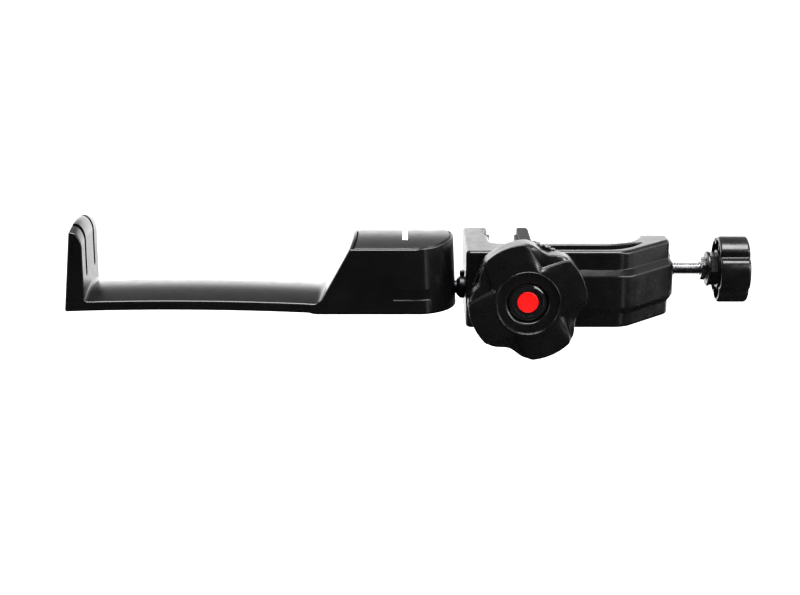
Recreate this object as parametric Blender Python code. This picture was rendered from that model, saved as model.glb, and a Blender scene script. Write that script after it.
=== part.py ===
"""Headphone holder arm on a universal C-clamp for a stand's upright tube.

The origin lies on the upright's axis, at mid-height of the clamp. +X runs from the holder arm
towards the clamp screw, -Y faces the user and +Z is up. Every length below is in millimetres;
mesh_object turns them into metres.
"""
import math

import bmesh
import bpy
from mathutils import Matrix, Vector

MM = 0.001
GAP = 0.3                       # clearance between pieces that touch
ROUND = 32                      # sides of a round piece
WELD = 0.002                    # points closer than this are one point

# C-clamp frame: a front bar along X with a V-jaw at its left end and the screw boss at its right
FRAME_LEFT = -23.7
FRAME_RIGHT = 106.0
FRAME_FRONT = -55.0
FRAME_BACK = 13.4               # back edge of the V-jaw block
FRAME_HALF_HEIGHT = 24.4
BAR_INNER = -31.0               # the bar's face towards the mouth
BAR_END = -8.6                  # where the flange stops beside the screw boss
JAW_WALL = -8.0
V_DEPTH = 4.0
V_HALF_WIDTH = 11.0
MOUTH_END = 87.4
BEND_X = 68.2                   # the bar's front face ends here and bends round
BEND_RADIUS = 16.0
SLANT = 46.0                    # degrees that the stretch after the bend turns back
END_BEND_Y = -19.7              # where the second bend meets the right-hand face
END_BEND_RADIUS = 8.0
BAND_PROUD = 3.0                # the thick middle band stands this far out of the bar
BAND_SUNK = -0.2                # and its chamfers start this far inside the bar
BAND_LOW = -11.2
BAND_HIGH = 8.8
BAND_CHAMFER = 4.4
BAND_LEFT = -12.0
POCKET_DEPTH = 9.0              # lightening pockets above and below the bar
BOSS_RADIUS = 13.0
LOCK_BOSS_RADIUS = 22.5

# Clamp screw along X through the boss, with the moving jaw on its end
SCREW_RADIUS = 3.95
SCREW_TIP = 13.6
SCREW_END = 152.0
CLIP_X = 21.3                   # middle of the groove that the retaining clip sits in
JAW_FACE = 11.4
JAW_BACK = 18.7
JAW_BOSS_BACK = 24.7
JAW_HALF_HEIGHT = 23.8
PAD_THICKNESS = 1.2
HUB_LEFT = 133.2
KNOB_LEFT = 140.0
KNOB_RIGHT = 160.5
KNOB_RADIUS = 21.7
KNOB_LOBES = 5
KNOB_CORE_RADIUS = 12.0         # the left face is hollow between this core and the lobed skin
KNOB_HOLLOW_RADIUS = 19.2
KNOB_HOLLOW_DEPTH = 9.0
KNOB_CAP_LEFT = 157.4

# Rod of the holder arm along X, and the lock knob's screw along -Y that grips it
ROD_Y = -41.0
ROD_Z = -1.5
ROD_RADIUS = 4.0
ROD_LEFT = -66.0
ROD_RIGHT = 42.0
SOCKET_END = 46.0
COLLET_RADIUS = 5.9
LOCK_X = 12.8
LOCK_SCREW_RADIUS = 4.9
LOCK_SCREW_TIP = -52.0
SKIRT_RADIUS = 33.6
SKIRT_BACK = -58.6
SKIRT_FRONT = -64.2
HEAD_BACK = -64.5
HEAD_SCOOP_EDGE = -77.5         # the finger scoops are cut this far down at the rim
HEAD_RIM_FRONT = -80.5
HEAD_RING_FRONT = -82.0
HEAD_RADIUS = 36.1
HEAD_VALLEY_BACK = 31.0         # radius of the rim in the valley between two lobes
HEAD_VALLEY_FRONT = 22.0        # and of the scoop's point on the front face
HEAD_LOBES = 4
HEAD_FIRST_LOBE = math.radians(25.0)
HEAD_LOBE_HALF = math.radians(22.5)
DISH_RADIUS = 19.3
CAP_RADIUS = 12.3

# Holder arm, arched from front to back, with a lip at the left and a hollow block at the right
ARM_HALF_DEPTH = 27.0
ARM_CROWN = 4.4
LIP_CROWN = 3.0
LIP_BOTTOM_X = -268.8
LIP_TOP_X = -264.5
LIP_TOP_Z = 39.0
SEAT_LEFT = -256.6
SEAT_RIGHT = -113.8
SEAT_CREST_X = -205.0           # the seat's front edge is a flat bow, highest here
SEAT_CREST_Z = -3.6
SEAT_BOW = 1.7                  # it has dropped this far after SEAT_BOW_REACH
SEAT_BOW_REACH = 80.0
ARM_THICKNESS = 5.9
BLOCK_LEFT = -95.0
BLOCK_TOP = 28.3
BLOCK_BOTTOM = -12.3
BLOCK_FOOT_LEFT = -118.0
END_CENTRE = -55.5              # the block ends in half an ellipse about this X
END_RADIUS = 26.0
END_DRAFT = 1.9
WALL = 3.2
CAVITY_FOOT = -100.0            # left edge of the block's cavity at its open bottom
CAVITY_LEAN = 0.4               # and its run to the right for each unit of height
CAVITY_TOP = 22.0
SLOT_WIDTH = 4.8
SLOT_OFFSET = 14.0
SLOT_BOTTOM = 9.0
LID_INSET = 1.6                 # width of the rim round the lid
LID_LEFT_GAP = 0.9              # the lid's gap beside the slope is wide enough for a fingernail
LID_THICKNESS = 2.2
STRIPE_LEFT = -62.8
STRIPE_WIDTH = 3.2
STRIPE_HALF_LENGTH = 13.5
PANEL_LEFT = -68.6              # shallow recess low on the block's front face
PANEL_END_ANGLE = math.radians(-67.0)
PANEL_HALF_HEIGHT = 3.5
PANEL_DEPTH = 0.7
COVER_THICKNESS = 2.5
BULKHEAD_LEFT = -48.0
BULKHEAD_RIGHT = -44.0

SLICES = [math.radians(a) for a in range(-90, 91, 15)]


def clear_scene():
    for obj in list(bpy.data.objects):
        bpy.data.objects.remove(obj)


# ---------------------------------------------------------------- outlines

def arc(centre, radius, start, end, steps):
    """Points on a circle or, with a pair of radii, on an ellipse; angles in degrees."""
    ru, rv = radius if isinstance(radius, tuple) else (radius, radius)
    angles = [math.radians(start + (end - start) * i / steps) for i in range(steps + 1)]
    return [(centre[0] + ru * math.cos(a), centre[1] + rv * math.sin(a)) for a in angles]


def bezier(p0, p1, p2, p3, steps, offset=0.0):
    """Cubic curve, moved sideways by offset to the right of its direction."""
    points = []
    for i in range(steps + 1):
        t = i / steps
        s = 1.0 - t
        place = [s**3 * a + 3 * s * s * t * b + 3 * s * t * t * c + t**3 * d
                 for a, b, c, d in zip(p0, p1, p2, p3)]
        slope = [s * s * (b - a) + 2 * s * t * (c - b) + t * t * (d - c)
                 for a, b, c, d in zip(p0, p1, p2, p3)]
        size = math.hypot(*slope)
        points.append((place[0] + offset * slope[1] / size, place[1] - offset * slope[0] / size))
    return points


def circle(radius, steps=ROUND, centre=(0.0, 0.0), phase=0.0):
    return arc(centre, radius, phase, phase + 360.0 - 360.0 / steps, steps - 1)


def hexagon(across_flats, centre=(0.0, 0.0), phase=0.0):
    return circle(across_flats / math.sqrt(3.0), 6, centre, phase)


# ---------------------------------------------------------------- solids

def mesh_object(name, verts, faces):
    """Object made from points in millimetres, with its faces turned outwards."""
    mesh = bpy.data.meshes.new(name)
    mesh.from_pydata([Vector(v) * MM for v in verts], [], faces)
    bm = bmesh.new()
    bm.from_mesh(mesh)
    bmesh.ops.recalc_face_normals(bm, faces=bm.faces)
    bm.to_mesh(mesh)
    bm.free()
    obj = bpy.data.objects.new(name, mesh)
    bpy.context.collection.objects.link(obj)
    return obj


def loft(name, loops, ring=False):
    """Solid skinned through loops of equal length, capped at its ends or closed into a ring."""
    count = len(loops[0])
    verts = [point for loop in loops for point in loop]
    starts = [row * count for row in range(len(loops))]
    pairs = list(zip(starts, starts[1:]))
    faces = []
    if ring:
        pairs.append((starts[-1], starts[0]))
    else:
        faces.append(tuple(range(count)))
        faces.append(tuple(range(starts[-1], starts[-1] + count)))
    for low, high in pairs:
        for i in range(count):
            j = (i + 1) % count
            faces.append((low + i, low + j, high + j, high + i))
    return mesh_object(name, verts, faces)


def place(axis, u, v, along):
    """Point with the coordinate along on axis, and u and v on the other two axes in order."""
    return {"X": (along, u, v), "Y": (u, along, v), "Z": (u, v, along)}[axis]


def prism(name, axis, outline, low, high):
    return loft(name, [[place(axis, u, v, s) for u, v in outline] for s in (low, high)])


def box(name, low, high):
    outline = [(low[0], low[1]), (high[0], low[1]), (high[0], high[1]), (low[0], high[1])]
    return prism(name, "Z", outline, low[2], high[2])


def turned(name, axis, centre, profile, sides=ROUND, ring=False):
    """Solid of revolution through (along, radius) points; ring closes the profile on itself."""
    loops = [[place(axis, u, v, along) for u, v in circle(radius, sides, centre)]
             for along, radius in profile]
    return loft(name, loops, ring)


def tube(name, axis, centre, outer, inner, low, high, sides=ROUND):
    profile = [(low, outer), (high, outer), (high, inner), (low, inner)]
    return turned(name, axis, centre, profile, sides, ring=True)


def apply_boolean(obj, cutter, operation):
    modifier = obj.modifiers.new("boolean", "BOOLEAN")
    modifier.operation = operation
    modifier.solver = "EXACT"
    modifier.object = cutter
    view = bpy.context.evaluated_depsgraph_get()
    result = bpy.data.meshes.new_from_object(obj.evaluated_get(view))
    bm = bmesh.new()
    bm.from_mesh(result)
    bmesh.ops.remove_doubles(bm, verts=bm.verts, dist=WELD * MM)
    bmesh.ops.dissolve_degenerate(bm, edges=bm.edges, dist=WELD * MM)
    bm.to_mesh(result)
    bm.free()
    obj.modifiers.clear()
    obj.data = result
    bpy.data.objects.remove(cutter)


def cut(obj, *cutters):
    for cutter in cutters:
        apply_boolean(obj, cutter, "DIFFERENCE")
    return obj


def join(obj, *others):
    for other in others:
        apply_boolean(obj, other, "UNION")
    return obj


# ---------------------------------------------------------------- materials

FINISHES = {
    "arm_plastic": ((0.012, 0.012, 0.013), 0.42, 0.0),
    "lid_plastic": ((0.014, 0.014, 0.015), 0.45, 0.0),
    "stripe_white": ((0.85, 0.85, 0.85), 0.4, 0.0),
    "clamp_paint": ((0.012, 0.012, 0.013), 0.36, 0.0),
    "knob_plastic": ((0.011, 0.011, 0.012), 0.48, 0.0),
    "cap_gloss": ((0.008, 0.008, 0.009), 0.12, 0.0),
    "badge_red": ((0.75, 0.02, 0.015), 0.35, 0.0),
    "pad_rubber": ((0.01, 0.01, 0.01), 0.8, 0.0),
    "zinc_steel": ((0.62, 0.63, 0.65), 0.25, 1.0),
    "dark_steel": ((0.03, 0.03, 0.032), 0.35, 1.0),
    "insert_brass": ((0.72, 0.53, 0.25), 0.3, 1.0),
    "collet_nylon": ((0.6, 0.6, 0.57), 0.5, 0.0),
}


def finish(obj, finish_name, smooth_angle=32.0):
    """Give the piece its material and smooth its round faces."""
    material = bpy.data.materials.get(finish_name)
    if material is None:
        colour, roughness, metallic = FINISHES[finish_name]
        material = bpy.data.materials.new(finish_name)
        material.use_nodes = True
        shader = material.node_tree.nodes["Principled BSDF"]
        shader.inputs["Base Color"].default_value = (*colour, 1.0)
        shader.inputs["Roughness"].default_value = roughness
        shader.inputs["Metallic"].default_value = metallic
    obj.data.materials.clear()
    obj.data.materials.append(material)
    obj.data.shade_smooth()
    obj.data.set_sharp_from_angle(angle=math.radians(smooth_angle))
    return obj


def body(name, point, pieces):
    """Empty on the body's joint axis, with the pieces as children whose origins are there too."""
    empty = bpy.data.objects.new(name, None)
    empty.location = Vector(point) * MM
    bpy.context.collection.objects.link(empty)
    for piece in pieces:
        piece.data.transform(Matrix.Translation(-Vector(point) * MM))
        piece.parent = empty
    return empty


# ---------------------------------------------------------------- clamp frame

def outer_corner(offset):
    """The bar's way from its front face round to the right-hand end, in two bends."""
    first = (BEND_X, FRAME_FRONT + BEND_RADIUS)
    second = (FRAME_RIGHT - END_BEND_RADIUS, END_BEND_Y)
    return (arc(first, BEND_RADIUS + offset, 270.0, 270.0 + SLANT, 5)
            + arc(second, END_BEND_RADIUS + offset, 270.0 + SLANT, 360.0, 4))


def frame_outline():
    inner_corner = bezier((68.0, BAR_INNER), (78.0, BAR_INNER), (85.0, -22.0),
                          (MOUTH_END, BAR_END), 8)
    points = [(FRAME_LEFT, FRAME_BACK)]
    points += arc((FRAME_LEFT + 3.0, FRAME_FRONT + 3.0), 3.0, 180.0, 270.0, 3)
    points += outer_corner(0.0)
    points += [(FRAME_RIGHT, BAR_END)]
    points += list(reversed(inner_corner))
    points += arc((JAW_WALL + 6.0, BAR_INNER + 6.0), 6.0, 270.0, 180.0, 4)
    points += [(JAW_WALL, -V_HALF_WIDTH), (JAW_WALL - V_DEPTH, 0.0), (JAW_WALL, V_HALF_WIDTH)]
    points += [(JAW_WALL, FRAME_BACK)]
    return points


def band_loop(proud, height):
    """One level of the middle band; its inner points stay inside the bar."""
    start = BAND_LEFT + BAND_PROUD - proud
    outside = [(start, FRAME_FRONT - proud)] + outer_corner(proud) + [(FRAME_RIGHT + proud, 0.0)]
    inside = [(98.0, 0.0), (96.0, -16.0), (80.0, -36.0), (62.0, -43.0), (start, -43.0)]
    return [place("Z", u, v, height) for u, v in outside + inside]


def pocket_outline():
    point = (87.6, -30.6)
    near = bezier((62.0, -50.2), (74.0, -50.2), (81.0, -42.0), point, 6)
    far = bezier((60.0, -38.0), (70.0, -38.0), (79.0, -32.0), point, 5)
    left_end = arc((31.4, -44.1), 6.1, 90.0, 270.0, 6)
    return left_end + near + list(reversed(far))[1:]


def make_clamp_frame():
    frame = prism("clamp_frame", "Z", frame_outline(), -FRAME_HALF_HEIGHT, FRAME_HALF_HEIGHT)
    band = loft("band", [band_loop(BAND_SUNK, BAND_LOW - BAND_CHAMFER),
                         band_loop(BAND_PROUD, BAND_LOW), band_loop(BAND_PROUD, BAND_HIGH),
                         band_loop(BAND_SUNK, BAND_HIGH + BAND_CHAMFER)])
    screw_boss = turned("screw_boss", "X", (0.0, 0.0),
                        [(MOUTH_END, BOSS_RADIUS - 1.0), (MOUTH_END + 1.0, BOSS_RADIUS),
                         (108.0, BOSS_RADIUS), (109.2, BOSS_RADIUS - 1.2)])
    lock_boss = turned("lock_boss", "Y", (LOCK_X, ROD_Z),
                       [(-58.3, LOCK_BOSS_RADIUS), (-50.0, LOCK_BOSS_RADIUS)], 40)
    join(frame, band, screw_boss, lock_boss)
    for low in (-30.0, FRAME_HALF_HEIGHT - POCKET_DEPTH):
        high = low + 30.0 - FRAME_HALF_HEIGHT + POCKET_DEPTH
        cut(frame, prism("pocket", "Z", pocket_outline(), low, high))
    bush_bore = turned("bush_bore", "X", (0.0, 0.0), [(80.0, 6.3), (115.0, 6.3)])
    rod_socket = turned("rod_socket", "X", (ROD_Y, ROD_Z), [(-30.0, 6.2), (SOCKET_END, 6.2)])
    lock_bore = turned("lock_bore", "Y", (LOCK_X, ROD_Z),
                       [(-62.0, 7.3), (-52.0, 7.3), (-52.0, 4.4), (ROD_Y, 4.4)])
    return finish(cut(frame, bush_bore, rod_socket, lock_bore), "clamp_paint")


def make_fixed_jaw_pad():
    def v_line(shift, turn):
        return [(JAW_WALL + shift, -turn * V_HALF_WIDTH), (JAW_WALL - V_DEPTH + shift, 0.0),
                (JAW_WALL + shift, turn * V_HALF_WIDTH)]
    slant = math.hypot(V_DEPTH, V_HALF_WIDTH) / V_HALF_WIDTH
    outline = v_line(GAP * slant, 1.0) + v_line((GAP + PAD_THICKNESS) * slant, -1.0)
    pad = prism("fixed_jaw_pad", "Z", outline, -20.0, 20.0)
    return finish(pad, "pad_rubber")


def make_screw_bush():
    bush = tube("screw_bush", "X", (0.0, 0.0), 6.0, SCREW_RADIUS + 0.4, 87.8, 108.6)
    return finish(bush, "insert_brass")


def make_lock_screw_bush():
    bush = tube("lock_screw_bush", "Y", (LOCK_X, ROD_Z), 7.0, LOCK_SCREW_RADIUS + GAP, -58.0, -52.3)
    return finish(bush, "insert_brass")


# ---------------------------------------------------------------- moving jaw and its screw

def make_moving_jaw():
    plan = [(JAW_FACE, -30.3), (21.5, -30.3), (24.0, -27.5), (24.0, -26.0), (JAW_BACK, -22.0),
            (JAW_BACK, 12.8), (JAW_BACK - 2.0, 14.8), (JAW_FACE, 14.8)]
    jaw = prism("moving_jaw", "Z", plan, -JAW_HALF_HEIGHT, JAW_HALF_HEIGHT)
    boss = turned("jaw_boss", "X", (0.0, 0.0),
                  [(JAW_FACE + 2.0, 9.0), (JAW_BOSS_BACK - 1.0, 9.0), (JAW_BOSS_BACK, 8.0)])
    screw_hole = turned("screw_hole", "X", (0.0, 0.0), [(13.2, 4.4), (30.0, 4.4)])
    clip_slot = box("clip_slot", (CLIP_X - 0.8, -6.4, -5.4), (CLIP_X + 0.8, 6.4, 12.0))
    return finish(cut(join(jaw, boss), screw_hole, clip_slot), "clamp_paint")


def make_moving_jaw_pad():
    left = JAW_FACE - GAP - PAD_THICKNESS
    return finish(box("moving_jaw_pad", (left, -12.0, -20.0), (left + PAD_THICKNESS, 12.0, 20.0)),
                  "pad_rubber")


def make_retaining_clip():
    """U-shaped plate pushed into the jaw's slot from above, astride the screw's groove."""
    outline = [(-6.0, -5.0), (-3.3, -5.0)] + arc((0.0, 0.0), 3.3, 180.0, 0.0, 8)
    outline += [(3.3, -5.0), (6.0, -5.0), (6.0, 6.0), (4.5, 7.5), (-4.5, 7.5), (-6.0, 6.0)]
    return finish(prism("screw_retaining_clip", "X", outline, CLIP_X - 0.5, CLIP_X + 0.5),
                  "zinc_steel")


def make_clamp_screw():
    r = SCREW_RADIUS
    profile = [(SCREW_TIP, r - 0.8), (SCREW_TIP + 0.8, r), (CLIP_X - 0.8, r), (CLIP_X - 0.8, 3.0),
               (CLIP_X + 0.8, 3.0), (CLIP_X + 0.8, r), (SCREW_END, r)]
    return finish(turned("clamp_screw", "X", (0.0, 0.0), profile, 24), "zinc_steel")


def hex_nut(name, across_flats, bore_radius, low, high, centre=(0.0, 0.0)):
    nut = prism(name, "X", hexagon(across_flats, centre, 30.0), low, high)
    bore = turned("nut_bore", "X", centre, [(low - 1.0, bore_radius), (high + 1.0, bore_radius)], 24)
    return cut(nut, bore)


def make_screw_jam_nut():
    return finish(hex_nut("screw_jam_nut", 13.0, 4.3, 129.6, 132.9), "zinc_steel")


def make_clamp_knob_hub():
    """Round flange with a hexagonal neck, between the jam nut and the lobed head."""
    flange = turned("clamp_knob_hub", "X", (0.0, 0.0),
                    [(HUB_LEFT, 10.6), (HUB_LEFT + 0.6, 11.3), (HUB_LEFT + 1.8, 11.3),
                     (HUB_LEFT + 2.2, 10.6)])
    neck = prism("neck", "X", hexagon(19.0), HUB_LEFT + 1.0, KNOB_LEFT - GAP)
    bore = turned("hub_bore", "X", (0.0, 0.0), [(120.0, 4.3), (150.0, 4.3)], 24)
    return finish(cut(join(flange, neck), bore), "knob_plastic")


def lobed_loop(radius, depth, along):
    """Round outline with a groove of the given depth between its lobes; a lobe faces the user."""
    points = []
    steps = KNOB_LOBES * 12
    for i in range(steps):
        angle = math.tau * i / steps
        wave = 0.5 - 0.5 * math.cos(KNOB_LOBES * (angle - math.pi))
        r = radius - depth * wave**3
        points.append(place("X", r * math.cos(angle), r * math.sin(angle), along))
    return points


def make_clamp_knob():
    rings = [(KNOB_LEFT, 20.4, 2.9), (KNOB_LEFT + 1.3, KNOB_RADIUS, 3.2),
             (KNOB_RIGHT - 3.0, KNOB_RADIUS, 3.2), (KNOB_RIGHT - 1.8, 21.0, 3.0),
             (KNOB_RIGHT - 1.2, 19.6, 2.6), (KNOB_RIGHT - 0.5, 15.0, 1.2), (KNOB_RIGHT, 11.0, 0.0)]
    knob = loft("clamp_knob", [lobed_loop(r, depth, x) for x, r, depth in rings])
    bore = turned("knob_bore", "X", (0.0, 0.0), [(130.0, 4.3), (SCREW_END + 0.5, 4.3)], 24)
    cap_seat = turned("cap_seat", "X", (0.0, 0.0), [(KNOB_CAP_LEFT - GAP, 9.3), (170.0, 9.3)])
    hollow = loft("hollow", [lobed_loop(KNOB_HOLLOW_RADIUS, 3.2, x)
                             for x in (130.0, KNOB_LEFT + KNOB_HOLLOW_DEPTH)])
    core = turned("core", "X", (0.0, 0.0), [(120.0, KNOB_CORE_RADIUS), (170.0, KNOB_CORE_RADIUS)])
    return finish(cut(knob, bore, cap_seat, cut(hollow, core)), "knob_plastic")


def make_clamp_knob_cap():
    left = KNOB_CAP_LEFT
    profile = [(left, 9.0), (left + 2.7, 9.0), (left + 3.3, 8.0), (left + 3.6, 6.0)]
    return finish(turned("clamp_knob_cap", "X", (0.0, 0.0), profile), "knob_plastic")


# ---------------------------------------------------------------- lock knob

def head_radius(angle, front):
    """Edge of the four-lobed head; on the front face the finger scoops run in to a point."""
    sector = math.tau / HEAD_LOBES
    from_lobe = abs((angle - HEAD_FIRST_LOBE + sector / 2.0) % sector - sector / 2.0)
    if from_lobe <= HEAD_LOBE_HALF:
        return HEAD_RADIUS
    if not front:
        share = (from_lobe - HEAD_LOBE_HALF) / (sector / 2.0 - HEAD_LOBE_HALF)
        return HEAD_RADIUS - (HEAD_RADIUS - HEAD_VALLEY_BACK) * math.sin(share * math.pi / 2.0) ** 2
    corner = (HEAD_RADIUS * math.cos(HEAD_LOBE_HALF), HEAD_RADIUS * math.sin(HEAD_LOBE_HALF))
    point = (HEAD_VALLEY_FRONT * math.cos(sector / 2.0), HEAD_VALLEY_FRONT * math.sin(sector / 2.0))
    across = (point[0] - corner[0], point[1] - corner[1])
    ray = (math.cos(from_lobe), math.sin(from_lobe))
    return (corner[0] * across[1] - corner[1] * across[0]) / (ray[0] * across[1] - ray[1] * across[0])


def head_loop(y, radius_at):
    loop = []
    for i in range(64):
        angle = math.tau * i / 64 + HEAD_FIRST_LOBE
        r = radius_at(angle)
        loop.append(place("Y", LOCK_X + r * math.cos(angle), ROD_Z + r * math.sin(angle), y))
    return loop


def make_lock_knob():
    def back(angle):
        return head_radius(angle, False)

    def front(angle):
        return head_radius(angle, True)

    loops = [head_loop(HEAD_BACK, lambda a: back(a) - 1.5),
             head_loop(HEAD_BACK - 1.5, back),
             head_loop(HEAD_SCOOP_EDGE, back),
             head_loop(HEAD_RIM_FRONT + 1.0, lambda a: min(back(a), front(a) + 0.8)),
             head_loop(HEAD_RIM_FRONT, lambda a: front(a) - 0.4),
             head_loop(HEAD_RING_FRONT, lambda a: DISH_RADIUS),
             head_loop(HEAD_RING_FRONT + 0.5, lambda a: DISH_RADIUS - 0.6),
             head_loop(-78.2, lambda a: CAP_RADIUS + 0.3),
             head_loop(-78.2, lambda a: CAP_RADIUS),
             head_loop(-76.0, lambda a: CAP_RADIUS)]
    head = loft("lock_knob", loops)
    centre = (LOCK_X, ROD_Z)
    hub = turned("hub", "Y", centre, [(-59.2, 11.7), (-70.0, 11.7)])
    hex_pocket = prism("hex_pocket", "Y", hexagon(17.6, centre), -90.0, -69.0)
    bore = turned("bore", "Y", centre, [(-80.0, LOCK_SCREW_RADIUS + GAP),
                                        (-50.0, LOCK_SCREW_RADIUS + GAP)], 24)
    return finish(cut(join(head, hub), hex_pocket, bore), "knob_plastic", 24.0)


def make_lock_knob_skirt():
    profile = [(SKIRT_BACK, 31.5), (SKIRT_BACK - 1.6, SKIRT_RADIUS), (SKIRT_FRONT + 0.8, SKIRT_RADIUS),
               (SKIRT_FRONT, SKIRT_RADIUS - 1.0), (SKIRT_FRONT, 12.1), (SKIRT_BACK, 12.1)]
    return finish(turned("lock_knob_skirt", "Y", (LOCK_X, ROD_Z), profile, 48, ring=True),
                  "knob_plastic")


def make_lock_screw():
    """Hexagon-head screw whose head is captured in the knob and whose nose turns in the shoe."""
    centre = (LOCK_X, ROD_Z)
    head = prism("lock_screw", "Y", hexagon(17.0, centre), -75.6, -69.3)
    chamfer = 0.8
    nose_radius = 2.0
    profile = [(-70.0, LOCK_SCREW_RADIUS), (LOCK_SCREW_TIP - chamfer, LOCK_SCREW_RADIUS),
               (LOCK_SCREW_TIP, LOCK_SCREW_RADIUS - chamfer), (LOCK_SCREW_TIP, nose_radius),
               (-49.6, nose_radius)]
    shank = turned("shank", "Y", centre, profile, 24)
    return finish(join(head, shank), "zinc_steel")


def make_pressure_shoe():
    profile = [(-51.7, 4.1), (-47.2, 4.1), (-47.2, 0.9), (-49.2, 0.9), (-49.2, 2.4), (-51.7, 2.4)]
    return finish(turned("pressure_shoe", "Y", (LOCK_X, ROD_Z), profile, 24, ring=True),
                  "insert_brass")


def make_lock_knob_cap():
    profile = [(-76.3, 11.9), (-78.6, 11.9), (-79.4, 11.1), (-78.7, 10.2), (-78.7, 6.1), (-78.2, 6.1)]
    return finish(turned("lock_knob_cap", "Y", (LOCK_X, ROD_Z), profile, 48), "cap_gloss")


def make_lock_knob_badge():
    profile = [(-78.5, 5.8), (-79.1, 5.8), (-79.3, 5.5)]
    return finish(turned("lock_knob_badge", "Y", (LOCK_X, ROD_Z), profile), "badge_red")


# ---------------------------------------------------------------- rod and its grip

def make_rod_collet():
    """Split sleeve between the rod and its socket; the shoe closes it on the rod."""
    inner = ROD_RADIUS + GAP
    slit = math.degrees(0.6 / COLLET_RADIUS)
    outline = arc((ROD_Y, ROD_Z), COLLET_RADIUS, slit, 360.0 - slit, 28)
    outline += arc((ROD_Y, ROD_Z), inner, 360.0 - slit * 1.3, slit * 1.3, 28)
    return finish(prism("rod_collet", "X", outline, FRAME_LEFT + 0.5, SOCKET_END - 1.0),
                  "collet_nylon")


def make_arm_rod():
    r = ROD_RADIUS
    profile = [(ROD_LEFT, r - 0.8), (ROD_LEFT + 0.8, r), (ROD_RIGHT - 0.8, r), (ROD_RIGHT, r - 0.8)]
    return finish(turned("arm_rod", "X", (ROD_Y, ROD_Z), profile, 24), "dark_steel")


def make_stop_collar():
    collar = tube("rod_stop_collar", "X", (ROD_Y, ROD_Z), 7.0, ROD_RADIUS + GAP, -27.3, -24.0)
    hole = turned("hole", "Z", (-25.65, ROD_Y), [(ROD_Z, 1.15), (12.0, 1.15)], 12)
    return finish(cut(collar, hole), "dark_steel")


def make_collar_screw():
    profile = [(ROD_Z + ROD_RADIUS + GAP, 0.85), (ROD_Z + 7.3, 0.85), (ROD_Z + 7.3, 1.6),
               (ROD_Z + 10.0, 1.6), (ROD_Z + 10.3, 1.3)]
    return finish(turned("collar_set_screw", "Z", (-25.65, ROD_Y), profile, 16), "dark_steel")


def make_rod_nuts():
    """A nut on each side of the block's bulkhead."""
    spans = {"rod_nut_inner": (-55.6, -49.9), "rod_nut_outer": (-42.1, -36.4)}
    return [finish(hex_nut(name, 13.0, 4.3, low, high, (ROD_Y, ROD_Z)), "zinc_steel")
            for name, (low, high) in spans.items()]


def make_rod_washers():
    spans = {"rod_washer_inner": (BULKHEAD_LEFT - 1.6, BULKHEAD_LEFT - GAP),
             "rod_washer_outer": (BULKHEAD_RIGHT + GAP, BULKHEAD_RIGHT + 1.6)}
    return [finish(tube(name, "X", (ROD_Y, ROD_Z), 8.0, 4.3, low, high, 24), "zinc_steel")
            for name, (low, high) in spans.items()]


# ---------------------------------------------------------------- holder arm

def crown(depth, height=ARM_CROWN):
    """Rise of the arched top at a distance from the arm's middle."""
    return height * (1.0 - (depth / ARM_HALF_DEPTH) ** 2)


def seat_z(x):
    """Height of the seat's front edge, a flat bow."""
    return SEAT_CREST_Z - SEAT_BOW * ((x - SEAT_CREST_X) / SEAT_BOW_REACH) ** 2


def slope_lean():
    """Run of the flat slope between seat and block, for each unit of height."""
    return (BLOCK_LEFT - SEAT_RIGHT) / (BLOCK_TOP - seat_z(SEAT_RIGHT))


def shell_slice(angle):
    """The arm's side profile, from the lip's foot clockwise; angle -90 is the front, 90 the back."""
    depth = ARM_HALF_DEPTH * math.sin(angle)
    rise = crown(depth)
    lip_rise = crown(depth, LIP_CROWN)
    under = crown(depth, ARM_CROWN - 1.0)
    shift = rise * slope_lean()
    end_x = END_CENTRE + END_RADIUS * math.cos(angle)

    def underside(x):
        return (x, seat_z(x) - ARM_THICKNESS + under)

    foot = underside(LIP_BOTTOM_X)
    points = [(foot[0] + 1.0, foot[1]), (foot[0], foot[1] + 1.0)]
    points += [(LIP_TOP_X - 0.2, LIP_TOP_Z - 2.0 + lip_rise), (LIP_TOP_X + 0.9, LIP_TOP_Z + lip_rise)]
    tip = arc((LIP_TOP_X + 1.5, LIP_TOP_Z - 10.0), (6.5, 10.0), 80.0, 0.0, 5)
    points += [(x, z + lip_rise) for x, z in tip]
    corner = 2.2
    corner_centre = (SEAT_LEFT + corner, seat_z(SEAT_LEFT + corner) + corner)
    points += [(x, z + rise) for x, z in arc(corner_centre, corner, 180.0, 270.0, 3)]
    for x in (-230.0, SEAT_CREST_X, -180.0, -150.0):
        points.append((x, seat_z(x) + rise))
    fillet = 5.0
    low = seat_z(SEAT_RIGHT)
    slope = math.degrees(math.atan(1.0 / slope_lean()))
    run = (SEAT_RIGHT + shift - fillet * math.tan(math.radians(slope / 2.0)), low + fillet)
    points += [(x, z + rise) for x, z in arc(run, fillet, 270.0, 270.0 + slope, 4)]
    top_left = BLOCK_LEFT + shift
    points += [(top_left - 0.6, BLOCK_TOP - 1.0 + rise), (top_left + 0.6, BLOCK_TOP + rise)]
    points += [(-80.0, BLOCK_TOP + rise), (end_x - END_DRAFT - 1.0, BLOCK_TOP + rise),
               (end_x - END_DRAFT, BLOCK_TOP - 1.0 + rise), (end_x, BLOCK_BOTTOM + 1.0),
               (end_x - 1.0, BLOCK_BOTTOM)]
    points.append((BLOCK_FOOT_LEFT + 2.0, BLOCK_BOTTOM))
    points += [underside(x) for x in (BLOCK_FOOT_LEFT - 1.0, -150.0, -180.0, SEAT_CREST_X, -230.0)]
    return [(x, ROD_Y + depth, z) for x, z in points]


def cavity_left(z):
    return CAVITY_FOOT + CAVITY_LEAN * (z - BLOCK_BOTTOM)


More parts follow.
